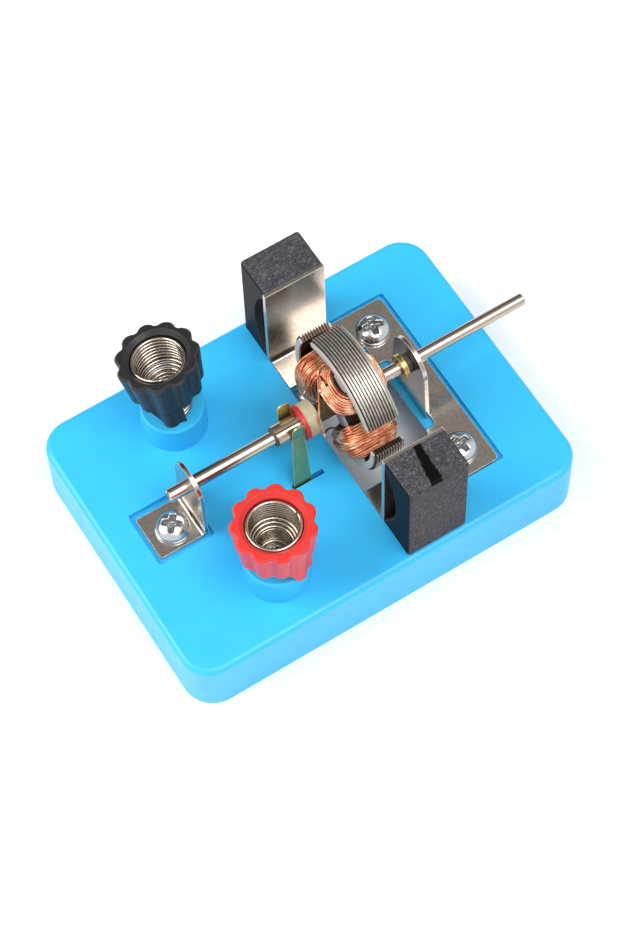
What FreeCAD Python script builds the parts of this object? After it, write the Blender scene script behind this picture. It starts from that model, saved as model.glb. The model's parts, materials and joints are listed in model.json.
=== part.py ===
import FreeCAD, Part
import collections
import math
import operator
import os
import Sketcher

# Demonstration electric motor, in millimetres. The origin is the middle of the base's footprint, on the
# table. +X runs along the shaft to its free end, +Y towards the black terminal and +Z up.

SIZES = {
    # Moulded base, a hollow box open underneath
    "base_length": 105.0,
    "base_width": 75.0,
    "base_height": 17.3,
    "base_corner": 7.5,
    "base_edge": 1.5,
    "base_wall": 2.4,
    "base_top": 3.0,
    "recess_depth": 1.5,
    "recess_corner": 0.8,
    "window_front": 4.7,
    "window_back": 26.2,
    "window_half_width": 15.6,
    "slot_play_front": 0.45,
    "slot_play_back": 3.4,
    "slot_width": 1.25,
    # Terminal posts, moulded with the base
    "post_x": -22.75,
    "post_y": 23.0,
    "post_radius": 8.1,
    "post_height": 8.3,
    "post_draft": 3.4,
    "post_edge": 0.4,
    # Tapping screws and the bosses that they bite into
    "screw_head_radius": 4.1,
    "screw_head_height": 3.0,
    "screw_head_rim": 0.7,
    "screw_shank_radius": 1.6,
    "screw_length": 9.5,
    "screw_hole_play": 0.5,
    "pilot_play": 0.05,
    "boss_radius": 3.6,
    "boss_length": 8.6,
    # Sheet metal
    "sheet": 1.0,
    "bend_radius": 0.8,
    "bearing_play": 0.08,
    # Front bearing bracket
    "bracket_face_x": -31.8,
    "bracket_foot_length": 11.6,
    "bracket_foot_half_width": 5.8,
    "bracket_upright_half_width": 6.2,
    "bracket_eye_radius": 5.8,
    "bracket_screw_gap": 5.4,
    "bracket_screw_y": -0.5,
    "bracket_recess_side": 14.8,
    "bracket_recess_gap": 2.0,
    # Yoke plate, one stamping that carries the magnets and the rear bearing
    "yoke_front": 4.95,
    "yoke_bar_front": 25.9,
    "yoke_back": 36.15,
    "yoke_half_width": 25.7,
    "yoke_arm_inner": 16.2,
    "yoke_corner": 1.2,
    "yoke_notch_half_width": 10.5,
    "yoke_notch_back": 28.7,
    "yoke_relief": 0.5,
    "yoke_screw_x": 29.8,
    "yoke_screw_y": 18.8,
    "yoke_play_front": 0.3,
    "yoke_play_back": 0.95,
    "yoke_play_side": 0.7,
    "rear_tab_x": 27.6,
    "rear_tab_half_width": 7.7,
    "rear_eye_radius": 6.6,
    "upright_front": 4.4,
    "upright_back": 20.4,
    "upright_top": 29.3,
    # Magnets, standing on the base against the outside of the uprights
    "magnet_front": 4.5,
    "magnet_back": 20.3,
    "magnet_thickness": 10.3,
    "magnet_height": 29.9,
    "magnet_arc_radius": 20.0,
    "magnet_arc_depth": 4.8,
    "magnet_edge": 0.8,
    "magnet_gap": 0.02,
    # Shaft
    "shaft_radius": 1.66,
    "shaft_front": -37.1,
    "shaft_back": 59.3,
    "shaft_rise": 14.5,
    "shaft_chamfer": 0.35,
    "shaft_fit": 0.01,
    "output_radius": 1.5,
    "output_shoulder_gap": 0.2,
    # Three-pole armature
    "rotor_angle": 11.6,
    "rotor_radius": 17.5,
    "stack_front": 7.76,
    "lamination_count": 10,
    "lamination_thickness": 0.62,
    "lamination_gap": 0.11,
    "hub_radius": 4.5,
    "neck_width": 4.6,
    "shoe_half_angle": 46.5,
    "shoe_tip": 1.8,
    "shoe_middle": 2.4,
    "insulator_thickness": 0.5,
    "insulator_setback": 0.6,
    "coil_inner": 5.5,
    "coil_outer": 13.9,
    "coil_half_width": 6.75,
    "coil_end_front": 3.7,
    "coil_end_rear": 2.9,
    "coil_corner": 4.6,
    "coil_bevel": 2.0,
    "coil_gap": 0.03,
    # Commutator
    "tube_radius": 2.3,
    "tube_front": -9.2,
    "segment_front": -8.75,
    "segment_length": 6.4,
    "segment_thickness": 0.35,
    "segment_slit": 0.5,
    "segment_turn": 5.0,
    "ring_radius": 4.4,
    "ring_length": 1.05,
    "drum_radius": 4.3,
    "drum_length": 3.1,
    # Thrust collar and spacer at the rear bearing
    "collar_radius": 3.1,
    "collar_length": 1.2,
    "spacer_radius": 2.4,
    "spacer_length": 1.4,
    "end_play": 0.1,
    # Brushes, bent from springy brass strip
    "brush_thickness": 0.3,
    "brush_gap": 0.05,
    "brush_slot_y": 6.65,
    "brush_foot_front": -8.15,
    "brush_foot_width": 4.65,
    "brush_contact_front": -5.9,
    "brush_contact_width": 3.35,
    "brush_tip_height": 5.6,
    "brush_tip_flare": 0.5,
    "brush_tip_round": 1.4,
    "brush_ring_radius": 4.0,
    "brush_ring_hole": 1.65,
    # Terminal screws, washers and nuts
    "terminal_shank_radius": 1.5,
    "terminal_length": 16.0,
    "terminal_head_radius": 2.6,
    "terminal_head_height": 1.6,
    "terminal_head_rim": 0.4,
    "terminal_hole_play": 0.15,
    "washer_radius": 3.5,
    "washer_thickness": 0.5,
    "nut_flats": 5.5,
    "nut_thickness": 2.4,
    "seat_gap": 0.02,
    # Terminal springs, one wire each: a flat spiral, a narrow close coil, an open flare and a wide coil
    "wire": 1.0,
    "spiral_turns": 2.0,
    "spiral_radius": 2.3,
    "lift_turns": 0.5,
    "narrow_radius": 4.4,
    "wide_radius": 6.1,
    "close_pitch": 1.04,
    "red_narrow_turns": 4.5,
    "red_flare_turns": 3.0,
    "red_flare_pitch": 0.95,
    "red_wide_pitch": 1.02,
    "black_narrow_turns": 6.4,
    "black_narrow_pitch": 1.37,
    "black_flare_turns": 1.2,
    "black_flare_pitch": 1.15,
    "black_wide_pitch": 1.13,
    "wide_turns": 7.0,
    "black_lean": 10.1,
    "black_lean_heading": 113.3,
    "black_lean_height": 4.5,
    # Terminal caps
    "cap_height": 10.4,
    "cap_top_radius": 10.04,
    "cap_bottom_radius": 8.9,
    "cap_top_edge": 0.5,
    "cap_lobes": 11,
    "lobe_radius": 2.3,
    "flute_radius": 1.3,
    "cap_mouth": 1.0,
    "cap_bore_radius": 6.72,
    "cap_bore_floor": 1.0,
    "cap_neck_radius": 6.35,
    "cap_rest": 6.3,
    "black_raise": 3.45,
    "tooth_length": 5.6,
    "tooth_inner": 7.1,
    "tooth_angle": 50.0,
    "tooth_ramp": 2.4,
    "tooth_round": 0.8,
    "red_tooth_heading": -75.0,
    "black_tooth_heading": -118.0,
}

SPRING_SIDES = 4
SPRING_POINTS_PER_TURN = 8
DOME_BANDS = 2
NUT_SIDES = 6
POLES = 3
SIDES = {"red": -1, "black": 1}

doc = FreeCAD.newDocument("demonstration_motor")


# ---------------------------------------------------------------- sizes


class Size:
    """A length, angle or count: its value, and the expression that ties it to the sheet."""

    def __init__(self, value, text):
        self.value = value
        self.text = text

    def joined(self, other, symbol, work):
        other = as_size(other)
        return Size(work(self.value, other.value), f"({self.text} {symbol} {other.text})")

    def __add__(self, other):
        return self.joined(other, "+", operator.add)

    def __sub__(self, other):
        return self.joined(other, "-", operator.sub)

    def __mul__(self, other):
        return self.joined(other, "*", operator.mul)

    def __truediv__(self, other):
        return self.joined(other, "/", operator.truediv)

    def __neg__(self):
        return self * -1


def as_size(number):
    if isinstance(number, Size):
        return number
    return Size(number, f"({number})")


def sine(angle):
    return Size(math.sin(math.radians(angle.value)), f"sin({angle.text})")


def cosine(angle):
    return Size(math.cos(math.radians(angle.value)), f"cos({angle.text})")


def root(number):
    return Size(math.sqrt(number.value), f"sqrt({number.text})")


class Sheet:
    """The spreadsheet of driving sizes. sheet.wire is the size of that name, tied to its cell."""

    def __init__(self, table):
        self.cells = doc.addObject("Spreadsheet::Sheet", "Sizes")
        for row, (name, number) in enumerate(table.items(), start=1):
            self.cells.set(f"A{row}", name)
            self.cells.set(f"B{row}", str(number))
            self.cells.setAlias(f"B{row}", name)
        doc.recompute()

    def __getattr__(self, name):
        return Size(self.cells.get(name), f"Sizes.{name}")


def bind(thing, path, size):
    thing.setExpression(path, as_size(size).text)


# ---------------------------------------------------------------- sketches and features

Arc = collections.namedtuple("Arc", "x y clockwise")


def left_arc(x, y):
    """The next span of an outline is an arc about this centre, turning left."""
    return Arc(as_size(x), as_size(y), False)


def right_arc(x, y):
    """The next span of an outline is an arc about this centre, turning right."""
    return Arc(as_size(x), as_size(y), True)


def new_body(name):
    body = doc.addObject("PartDesign::Body", name)
    body.Label = name
    return body


def new_sketch(body, role, at=0):
    """A sketch on one of the body's own planes, moved along the plane's axis. XZ faces -Y."""
    sketch = body.newObject("Sketcher::SketchObject", f"{body.Label}_sketch")
    plane = next(item for item in body.Origin.OriginFeatures if item.Role == role)
    sketch.AttachmentSupport = [(plane, "")]
    sketch.MapMode = "FlatFace"
    at = as_size(at)
    bind(sketch, "AttachmentOffset.Base.z", -at if role == "XZ_Plane" else at)
    return sketch


def pin(sketch, kind, geometry, point, size):
    """Hold one coordinate of a point, or a radius, at a size."""
    if kind == "Radius":
        index = sketch.addConstraint(Sketcher.Constraint(kind, geometry, size.value))
    else:
        index = sketch.addConstraint(Sketcher.Constraint(kind, -1, 1, geometry, point, size.value))
    bind(sketch, f"Constraints[{index}]", size)


def circle(sketch, x, y, radius):
    x, y, radius = as_size(x), as_size(y), as_size(radius)
    middle = FreeCAD.Vector(x.value, y.value, 0)
    geometry = sketch.addGeometry(Part.Circle(middle, FreeCAD.Vector(0, 0, 1), radius.value))
    pin(sketch, "DistanceX", geometry, 3, x)
    pin(sketch, "DistanceY", geometry, 3, y)
    pin(sketch, "Radius", geometry, 0, radius)


def arc_curve(start, end, arc):
    """The arc from start to end about its centre. A curve turns left, so a right turn is reversed."""
    if arc.clockwise:
        start, end = end, start
    middle = FreeCAD.Vector(arc.x.value, arc.y.value, 0)
    first = math.atan2(start.y - middle.y, start.x - middle.x)
    last = math.atan2(end.y - middle.y, end.x - middle.x)
    if last <= first:
        last += 2 * math.pi
    whole = Part.Circle(middle, FreeCAD.Vector(0, 0, 1), (start - middle).Length)
    return Part.ArcOfCircle(whole, first, last)


def outline(sketch, path):
    """Draw a closed outline from its corners, each an (x, y), with an Arc between two where they curve."""
    corners = []
    arcs = {}
    for step in path:
        if isinstance(step, Arc):
            arcs[len(corners) - 1] = step
        else:
            corners.append((as_size(step[0]), as_size(step[1])))
    spots = [FreeCAD.Vector(x.value, y.value, 0) for x, y in corners]
    ends = []
    for number, start in enumerate(spots):
        end = spots[(number + 1) % len(spots)]
        arc = arcs.get(number)
        if arc is None:
            geometry = sketch.addGeometry(Part.LineSegment(start, end))
            ends.append((geometry, 1, 2))
            continue
        geometry = sketch.addGeometry(arc_curve(start, end, arc))
        ends.append((geometry, 2, 1) if arc.clockwise else (geometry, 1, 2))
        span = end - start
        if abs(span.x) >= abs(span.y):
            pin(sketch, "DistanceY", geometry, 3, arc.y)
        else:
            pin(sketch, "DistanceX", geometry, 3, arc.x)
    for number, (x, y) in enumerate(corners):
        geometry, first, _ = ends[number]
        before, _, last = ends[number - 1]
        sketch.addConstraint(Sketcher.Constraint("Coincident", before, last, geometry, first))
        pin(sketch, "DistanceX", geometry, first, x)
        pin(sketch, "DistanceY", geometry, first, y)


def polygon(sketch, sides, corner_radius, first_angle=0):
    """A regular polygon about the sketch's origin, with its first corner at an angle in degrees."""
    turns = [math.radians(first_angle + 360 / sides * corner) for corner in range(sides)]
    outline(sketch, [(corner_radius * math.cos(turn), corner_radius * math.sin(turn)) for turn in turns])


def rectangle(sketch, left, right, bottom, top):
    outline(sketch, [(left, bottom), (right, bottom), (right, top), (left, top)])


def rounded_rectangle(sketch, left, right, bottom, top, radius):
    left, right, bottom, top = as_size(left), as_size(right), as_size(bottom), as_size(top)
    near, far = left + radius, right - radius
    low, high = bottom + radius, top - radius
    outline(sketch, [
        (near, bottom), (far, bottom), left_arc(far, low),
        (right, low), (right, high), left_arc(far, high),
        (far, top), (near, top), left_arc(near, high),
        (left, high), (left, low), left_arc(near, low),
    ])


def pad(body, sketch, length, draft=None):
    """Add the sketch's area, drawn out towards the positive end of its plane's axis."""
    feature = body.newObject("PartDesign::Pad", f"{body.Label}_pad")
    feature.Profile = sketch
    feature.Reversed = faces_backwards(sketch)
    bind(feature, "Length", length)
    if draft is not None:
        bind(feature, "TaperAngle", -draft)
    return feature


def cut(body, sketch, length):
    """Take the sketch's area away, towards the positive end of its plane's axis."""
    doc.recompute()
    before = body.Shape.Volume
    feature = body.newObject("PartDesign::Pocket", f"{body.Label}_pocket")
    feature.Profile = sketch
    feature.Reversed = not faces_backwards(sketch)
    bind(feature, "Length", length)
    doc.recompute()
    if not body.Shape.Volume < before:
        raise RuntimeError(f"a pocket of {body.Label} takes nothing away")
    return feature


def faces_backwards(sketch):
    return sketch.AttachmentSupport[0][0].Role == "XZ_Plane"


def revolve(body, sketch, axis):
    feature = body.newObject("PartDesign::Revolution", f"{body.Label}_revolution")
    feature.Profile = sketch
    feature.ReferenceAxis = (sketch, [axis])
    feature.Angle = 360
    return feature


def around(body, features, role, count):
    """Repeat features evenly round one of the body's own axes."""
    pattern = body.newObject("PartDesign::PolarPattern", f"{body.Label}_pattern")
    pattern.Originals = features
    axis = next(item for item in body.Origin.OriginFeatures if item.Role == role)
    pattern.Axis = (axis, [""])
    pattern.Angle = 360
    bind(pattern, "Occurrences", count)
    body.Tip = pattern
    return pattern


def dress(body, kind, prop, size, wanted):
    """Round or chamfer the edges of the body, so far as it is made, that wanted picks."""
    doc.recompute()
    base = body.Tip
    names = [f"Edge{number}" for number, edge in enumerate(base.Shape.Edges, start=1) if wanted(edge)]
    if not names:
        raise RuntimeError(f"{body.Label} has no such edge")
    feature = body.newObject(f"PartDesign::{kind}", f"{body.Label}_{kind.lower()}")
    feature.Base = (base, names)
    bind(feature, prop, size)
    return feature


def fillet(body, radius, wanted):
    return dress(body, "Fillet", "Radius", radius, wanted)


def chamfer(body, size, wanted):
    return dress(body, "Chamfer", "Size", size, wanted)


NEAR = 1e-4


def level(edge, axis, at):
    """Whether an edge lies wholly in the plane that crosses an axis (0, 1 or 2) at a size."""
    box = edge.BoundBox
    low = (box.XMin, box.YMin, box.ZMin)[axis]
    high = (box.XMax, box.YMax, box.ZMax)[axis]
    return abs(low - at.value) < NEAR and abs(high - at.value) < NEAR


def is_straight(edge):
    return edge.Curve.TypeId == "Part::GeomLine"


def runs_along(edge, axis):
    """Whether an edge is a straight line along an axis (0, 1 or 2)."""
    return is_straight(edge) and abs(abs(edge.Curve.Direction[axis]) - 1) < NEAR


def stand(body, x, y, z):
    bind(body, "Placement.Base.x", x)
    bind(body, "Placement.Base.y", y)
    bind(body, "Placement.Base.z", z)


# ---------------------------------------------------------------- sizes worked out from the sheet

sheet = Sheet(SIZES)

seat = sheet.base_height - sheet.recess_depth
sheet_top = seat + sheet.sheet
bend_top = sheet_top + sheet.bend_radius
ceiling = sheet.base_height - sheet.base_top
post_top = sheet.base_height + sheet.post_height
shaft_z = sheet.base_height + sheet.shaft_rise
bearing_radius = sheet.shaft_radius + sheet.bearing_play
output_front = sheet.rear_tab_x + sheet.sheet + sheet.output_shoulder_gap
fitted_radius = sheet.shaft_radius + sheet.shaft_fit
screw_hole_radius = sheet.screw_shank_radius + sheet.screw_hole_play
bracket_bend_x = sheet.bracket_face_x - sheet.bend_radius
bracket_screw_x = sheet.bracket_face_x - sheet.bracket_screw_gap
bracket_recess_back = sheet.bracket_face_x + sheet.bracket_recess_gap
rear_bend_x = sheet.rear_tab_x + sheet.sheet + sheet.bend_radius
upright_bend_y = sheet.yoke_half_width - sheet.sheet - sheet.bend_radius
stack_length = (sheet.lamination_thickness + sheet.lamination_gap) * sheet.lamination_count
stack_back = sheet.stack_front + stack_length
segment_radius = sheet.tube_radius + sheet.shaft_fit + sheet.segment_thickness
ring_front = sheet.segment_front + sheet.segment_length
drum_front = ring_front + sheet.ring_length
insulator_front = sheet.stack_front - sheet.insulator_thickness - sheet.lamination_gap
spacer_front = sheet.rear_tab_x - sheet.end_play - sheet.spacer_length
collar_front = spacer_front - sheet.collar_length
tail_z = ceiling - sheet.brush_thickness
washer_z = tail_z - sheet.washer_thickness
nut_z = washer_z - sheet.nut_thickness
terminal_head_z = post_top + sheet.wire + sheet.seat_gap * 2
post_hole_radius = sheet.terminal_shank_radius + sheet.terminal_hole_play


# ---------------------------------------------------------------- base


def make_base():
    base = new_body("base")
    half_length = sheet.base_length / 2
    half_width = sheet.base_width / 2

    block = new_sketch(base, "XY_Plane")
    rounded_rectangle(block, -half_length, half_length, -half_width, half_width, sheet.base_corner)
    pad(base, block, sheet.base_height)
    fillet(base, sheet.base_edge, lambda edge: level(edge, 2, sheet.base_height))

    inside = new_sketch(base, "XY_Plane")
    inner_length = half_length - sheet.base_wall
    inner_width = half_width - sheet.base_wall
    inner_corner = sheet.base_corner - sheet.base_wall
    rounded_rectangle(inside, -inner_length, inner_length, -inner_width, inner_width, inner_corner)
    cut(base, inside, ceiling)

    for side in SIDES.values():
        post = new_sketch(base, "XY_Plane", sheet.base_height - sheet.base_edge)
        circle(post, sheet.post_x, sheet.post_y * side, sheet.post_radius)
        pad(base, post, sheet.post_height + sheet.base_edge, sheet.post_draft)
    chamfer(base, sheet.post_edge, lambda edge: level(edge, 2, post_top))

    for x, y in screw_places():
        boss = new_sketch(base, "XY_Plane", ceiling - sheet.boss_length)
        circle(boss, x, y, sheet.boss_radius)
        pad(base, boss, sheet.boss_length)

    cut_recesses(base)
    cut_openings(base)
    return base


def cut_recesses(base):
    """The two shallow recesses that locate the metal plates."""
    half_side = sheet.bracket_recess_side / 2
    front = new_sketch(base, "XY_Plane", seat)
    rounded_rectangle(
        front, bracket_recess_back - sheet.bracket_recess_side, bracket_recess_back,
        -half_side, half_side, sheet.recess_corner,
    )
    cut(base, front, sheet.recess_depth)

    rear = new_sketch(base, "XY_Plane", seat)
    half_width = sheet.yoke_half_width + sheet.yoke_play_side
    rounded_rectangle(
        rear, sheet.yoke_front - sheet.yoke_play_front, sheet.yoke_back + sheet.yoke_play_back,
        -half_width, half_width, sheet.recess_corner,
    )
    cut(base, rear, sheet.recess_depth)


def cut_openings(base):
    """The window under the armature, the brush slots, and the holes for every screw."""
    window = new_sketch(base, "XY_Plane")
    rectangle(
        window, sheet.window_front, sheet.window_back, -sheet.window_half_width, sheet.window_half_width
    )
    cut(base, window, sheet.base_height)

    slots = new_sketch(base, "XY_Plane")
    slot_front = sheet.brush_foot_front - sheet.slot_play_front
    slot_back = sheet.brush_foot_front + sheet.brush_foot_width + sheet.slot_play_back
    slot_middle = sheet.brush_slot_y + sheet.brush_thickness / 2
    for side in SIDES.values():
        edges = (slot_middle - sheet.slot_width / 2) * side, (slot_middle + sheet.slot_width / 2) * side
        rectangle(slots, slot_front, slot_back, *edges)
    cut(base, slots, sheet.base_height)

    posts = new_sketch(base, "XY_Plane")
    for side in SIDES.values():
        circle(posts, sheet.post_x, sheet.post_y * side, post_hole_radius)
    cut(base, posts, post_top)

    pilots = new_sketch(base, "XY_Plane")
    for x, y in screw_places():
        circle(pilots, x, y, sheet.screw_shank_radius + sheet.pilot_play)
    cut(base, pilots, sheet.base_height)


def screw_places():
    yield bracket_screw_x, sheet.bracket_screw_y
    for side in SIDES.values():
        yield sheet.yoke_screw_x, sheet.yoke_screw_y * side


# ---------------------------------------------------------------- sheet metal


def make_front_bracket():
    bracket = new_body("front_bracket")
    half_width = sheet.bracket_foot_half_width
    foot = new_sketch(bracket, "XY_Plane", seat)
    rounded_rectangle(
        foot, sheet.bracket_face_x - sheet.bracket_foot_length, bracket_bend_x,
        -half_width, half_width, sheet.sheet / 2,
    )
    pad(bracket, foot, sheet.sheet)

    bend = new_sketch(bracket, "XZ_Plane", -half_width)
    outline(bend, [
        (bracket_bend_x - sheet.sheet, seat), (bracket_bend_x, seat), left_arc(bracket_bend_x, bend_top),
        (sheet.bracket_face_x + sheet.sheet, bend_top), (sheet.bracket_face_x, bend_top),
        right_arc(bracket_bend_x, bend_top), (bracket_bend_x, sheet_top),
        (bracket_bend_x - sheet.sheet, sheet_top),
    ])
    pad(bracket, bend, half_width * 2)

    bearing_upright(
        bracket, sheet.bracket_face_x, sheet.bracket_upright_half_width, sheet.bracket_eye_radius
    )
    screw_hole = new_sketch(bracket, "XY_Plane", seat)
    circle(screw_hole, bracket_screw_x, sheet.bracket_screw_y, screw_hole_radius)
    cut(bracket, screw_hole, sheet.sheet)
    return bracket


def bearing_upright(body, face_x, half_width, eye_radius):
    """A standing tab with a round head about the shaft, and the shaft's hole."""
    upright = new_sketch(body, "YZ_Plane", face_x)
    outline(upright, [
        (-half_width, bend_top), (half_width, bend_top), (eye_radius, shaft_z),
        left_arc(0, shaft_z), (-eye_radius, shaft_z),
    ])
    pad(body, upright, sheet.sheet)
    bearing = new_sketch(body, "YZ_Plane", face_x)
    circle(bearing, 0, shaft_z, bearing_radius)
    cut(body, bearing, sheet.sheet)


def make_yoke_plate():
    yoke = new_body("yoke_plate")
    plate = new_sketch(yoke, "XY_Plane", seat)
    right_side = [
        (sheet.yoke_front, -sheet.yoke_arm_inner),
        (sheet.yoke_front, -upright_bend_y),
        (sheet.upright_back + sheet.yoke_relief, -upright_bend_y),
        (sheet.upright_back + sheet.yoke_relief, -sheet.yoke_half_width),
        (sheet.yoke_back, -sheet.yoke_half_width),
    ]
    notch = [
        (sheet.yoke_bar_front, sheet.yoke_arm_inner),
        (sheet.yoke_bar_front, sheet.yoke_notch_half_width),
        (sheet.yoke_notch_back, sheet.yoke_notch_half_width),
        (sheet.yoke_notch_back, sheet.rear_tab_half_width),
        (rear_bend_x, sheet.rear_tab_half_width),
        (rear_bend_x, -sheet.rear_tab_half_width),
        (sheet.yoke_notch_back, -sheet.rear_tab_half_width),
        (sheet.yoke_notch_back, -sheet.yoke_notch_half_width),
        (sheet.yoke_bar_front, -sheet.yoke_notch_half_width),
        (sheet.yoke_bar_front, -sheet.yoke_arm_inner),
    ]
    left_side = [(x, -y) for x, y in reversed(right_side)]
    outline(plate, right_side + left_side + notch)
    pad(yoke, plate, sheet.sheet)
    fillet(yoke, sheet.yoke_corner, is_plate_corner)

    rear_bend(yoke)
    bearing_upright(yoke, sheet.rear_tab_x, sheet.rear_tab_half_width, sheet.rear_eye_radius)
    for side in SIDES.values():
        magnet_upright(yoke, side)

    screw_holes = new_sketch(yoke, "XY_Plane", seat)
    for side in SIDES.values():
        circle(screw_holes, sheet.yoke_screw_x, sheet.yoke_screw_y * side, screw_hole_radius)
    cut(yoke, screw_holes, sheet.sheet)
    return yoke


def is_plate_corner(edge):
    """Whether an edge is one of the plate's rounded corners, at its back or in its notch."""
    if not runs_along(edge, 2):
        return False
    in_notch = any(level(edge, 1, sheet.yoke_notch_half_width * side) for side in SIDES.values())
    return level(edge, 0, sheet.yoke_back) or (in_notch and level(edge, 0, sheet.yoke_notch_back))


def rear_bend(yoke):
    """The bend that turns the rear bearing tab up out of the plate."""
    bend = new_sketch(yoke, "XZ_Plane", -sheet.rear_tab_half_width)
    outline(bend, [
        (rear_bend_x, seat), (rear_bend_x + sheet.sheet, seat), (rear_bend_x + sheet.sheet, sheet_top),
        (rear_bend_x, sheet_top), right_arc(rear_bend_x, bend_top),
        (sheet.rear_tab_x + sheet.sheet, bend_top), (sheet.rear_tab_x, bend_top),
        left_arc(rear_bend_x, bend_top),
    ])
    pad(yoke, bend, sheet.rear_tab_half_width * 2)


def magnet_upright(yoke, side):
    """The wall that a magnet clings to, bent up from the outer edge of one arm."""
    inner_y = sheet.yoke_half_width - sheet.sheet
    turn_out, turn_in = (left_arc, right_arc) if side > 0 else (right_arc, left_arc)
    bend = new_sketch(yoke, "YZ_Plane", sheet.yoke_front)
    outline(bend, [
        ((upright_bend_y - sheet.sheet) * side, seat), (upright_bend_y * side, seat),
        turn_out(upright_bend_y * side, bend_top), (sheet.yoke_half_width * side, bend_top),
        (inner_y * side, bend_top), turn_in(upright_bend_y * side, bend_top),
        (upright_bend_y * side, sheet_top), ((upright_bend_y - sheet.sheet) * side, sheet_top),
    ])
    pad(yoke, bend, sheet.upright_back - sheet.yoke_front)
    wall = new_sketch(yoke, "XY_Plane", bend_top)
    rectangle(wall, sheet.upright_front, sheet.upright_back, inner_y * side, sheet.yoke_half_width * side)
    pad(yoke, wall, sheet.base_height + sheet.upright_top - bend_top)


# ---------------------------------------------------------------- magnets


def make_magnet(colour, side):
    magnet = new_body(f"magnet_{colour}_side")
    near = sheet.yoke_half_width + sheet.magnet_gap
    far = near + sheet.magnet_thickness
    block = new_sketch(magnet, "YZ_Plane", sheet.magnet_front)
    rectangle(block, near * side, far * side, 0, sheet.magnet_height)
    pad(magnet, block, sheet.magnet_back - sheet.magnet_front)
    fillet(magnet, sheet.magnet_edge, lambda edge: not level(edge, 1, near * side))

    arc = new_sketch(magnet, "YZ_Plane", sheet.magnet_front)
    arc_y = near + sheet.magnet_arc_depth - sheet.magnet_arc_radius
    circle(arc, arc_y * side, sheet.shaft_rise, sheet.magnet_arc_radius)
    cut(magnet, arc, sheet.magnet_back - sheet.magnet_front)
    stand(magnet, 0, 0, sheet.base_height)
    return magnet


# ---------------------------------------------------------------- rotor


def place_on_shaft(body, turn=0):
    """Put a piece modelled about the X axis on the shaft, turned with the armature and a pole further."""
    angle = sheet.rotor_angle + turn
    middle = FreeCAD.Vector(0, 0, shaft_z.value)
    body.Placement = FreeCAD.Placement(middle, FreeCAD.Rotation(FreeCAD.Vector(1, 0, 0), angle.value))
    bind(body, "Placement.Base.z", shaft_z)
    bind(body, "Placement.Rotation.Angle", angle)


def make_shaft():
    """A rod with a slightly thinner output end, whose shoulder stands just behind the rear bearing."""
    shaft = new_body("shaft")
    for front, back, radius in (
        (sheet.shaft_front, output_front, sheet.shaft_radius),
        (output_front, sheet.shaft_back, sheet.output_radius),
    ):
        section = new_sketch(shaft, "YZ_Plane", front)
        circle(section, 0, 0, radius)
        pad(shaft, section, back - front)
    ends = sheet.shaft_front, sheet.shaft_back
    chamfer(shaft, sheet.shaft_chamfer, lambda edge: any(level(edge, 0, end) for end in ends))
    place_on_shaft(shaft)
    return shaft


def make_sleeve(name, front, length, outer, inner):
    """A plain ring about the shaft."""
    sleeve = new_body(name)
    section = new_sketch(sleeve, "YZ_Plane", front)
    circle(section, 0, 0, outer)
    circle(section, 0, 0, inner)
    pad(sleeve, section, length)
    place_on_shaft(sleeve)
    return sleeve


def pole_piece(name, front, thickness, setback):
    """A three-pole stamping: a hub, and a neck with a curved shoe for each pole."""
    piece = new_body(name)
    hub = new_sketch(piece, "YZ_Plane", front)
    polygon(hub, POLES * 2, sheet.hub_radius, 180 / POLES / 2)
    pad(piece, hub, thickness)

    shoe_bottom = sheet.rotor_radius - sheet.shoe_middle
    neck = new_sketch(piece, "YZ_Plane", front)
    half_width = sheet.neck_width / 2
    rectangle(neck, -half_width, half_width, 0, shoe_bottom + sheet.shoe_middle / 2 - setback)
    neck_pad = pad(piece, neck, thickness)

    outer = sheet.rotor_radius - setback
    tip_inner = sheet.rotor_radius - sheet.shoe_tip
    across, along = sine(sheet.shoe_half_angle), cosine(sheet.shoe_half_angle)
    rise = shoe_bottom - tip_inner * along
    under_radius = (tip_inner * across * tip_inner * across + rise * rise) / (rise * 2)
    shoe = new_sketch(piece, "YZ_Plane", front)
    outline(shoe, [
        (tip_inner * across, tip_inner * along), (outer * across, outer * along), left_arc(0, 0),
        (-outer * across, outer * along), (-tip_inner * across, tip_inner * along),
        right_arc(0, shoe_bottom - under_radius),
    ])
    shoe_pad = pad(piece, shoe, thickness)
    around(piece, [neck_pad, shoe_pad], "X_Axis", as_size(POLES))

    bore = new_sketch(piece, "YZ_Plane", front)
    circle(bore, 0, 0, fitted_radius)
    cut(piece, bore, thickness)
    place_on_shaft(piece)
    return piece


def make_laminations():
    pieces = []
    for number in range(int(sheet.lamination_count.value)):
        front = sheet.stack_front + (sheet.lamination_thickness + sheet.lamination_gap) * number
        name = f"lamination_{number + 1:02d}"
        pieces.append(pole_piece(name, front, sheet.lamination_thickness, as_size(0)))
    return pieces


def make_end_insulators():
    thickness, setback = sheet.insulator_thickness, sheet.insulator_setback
    return [
        pole_piece("end_insulator_front", insulator_front, thickness, setback),
        pole_piece("end_insulator_rear", stack_back, thickness, setback),
    ]


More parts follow.
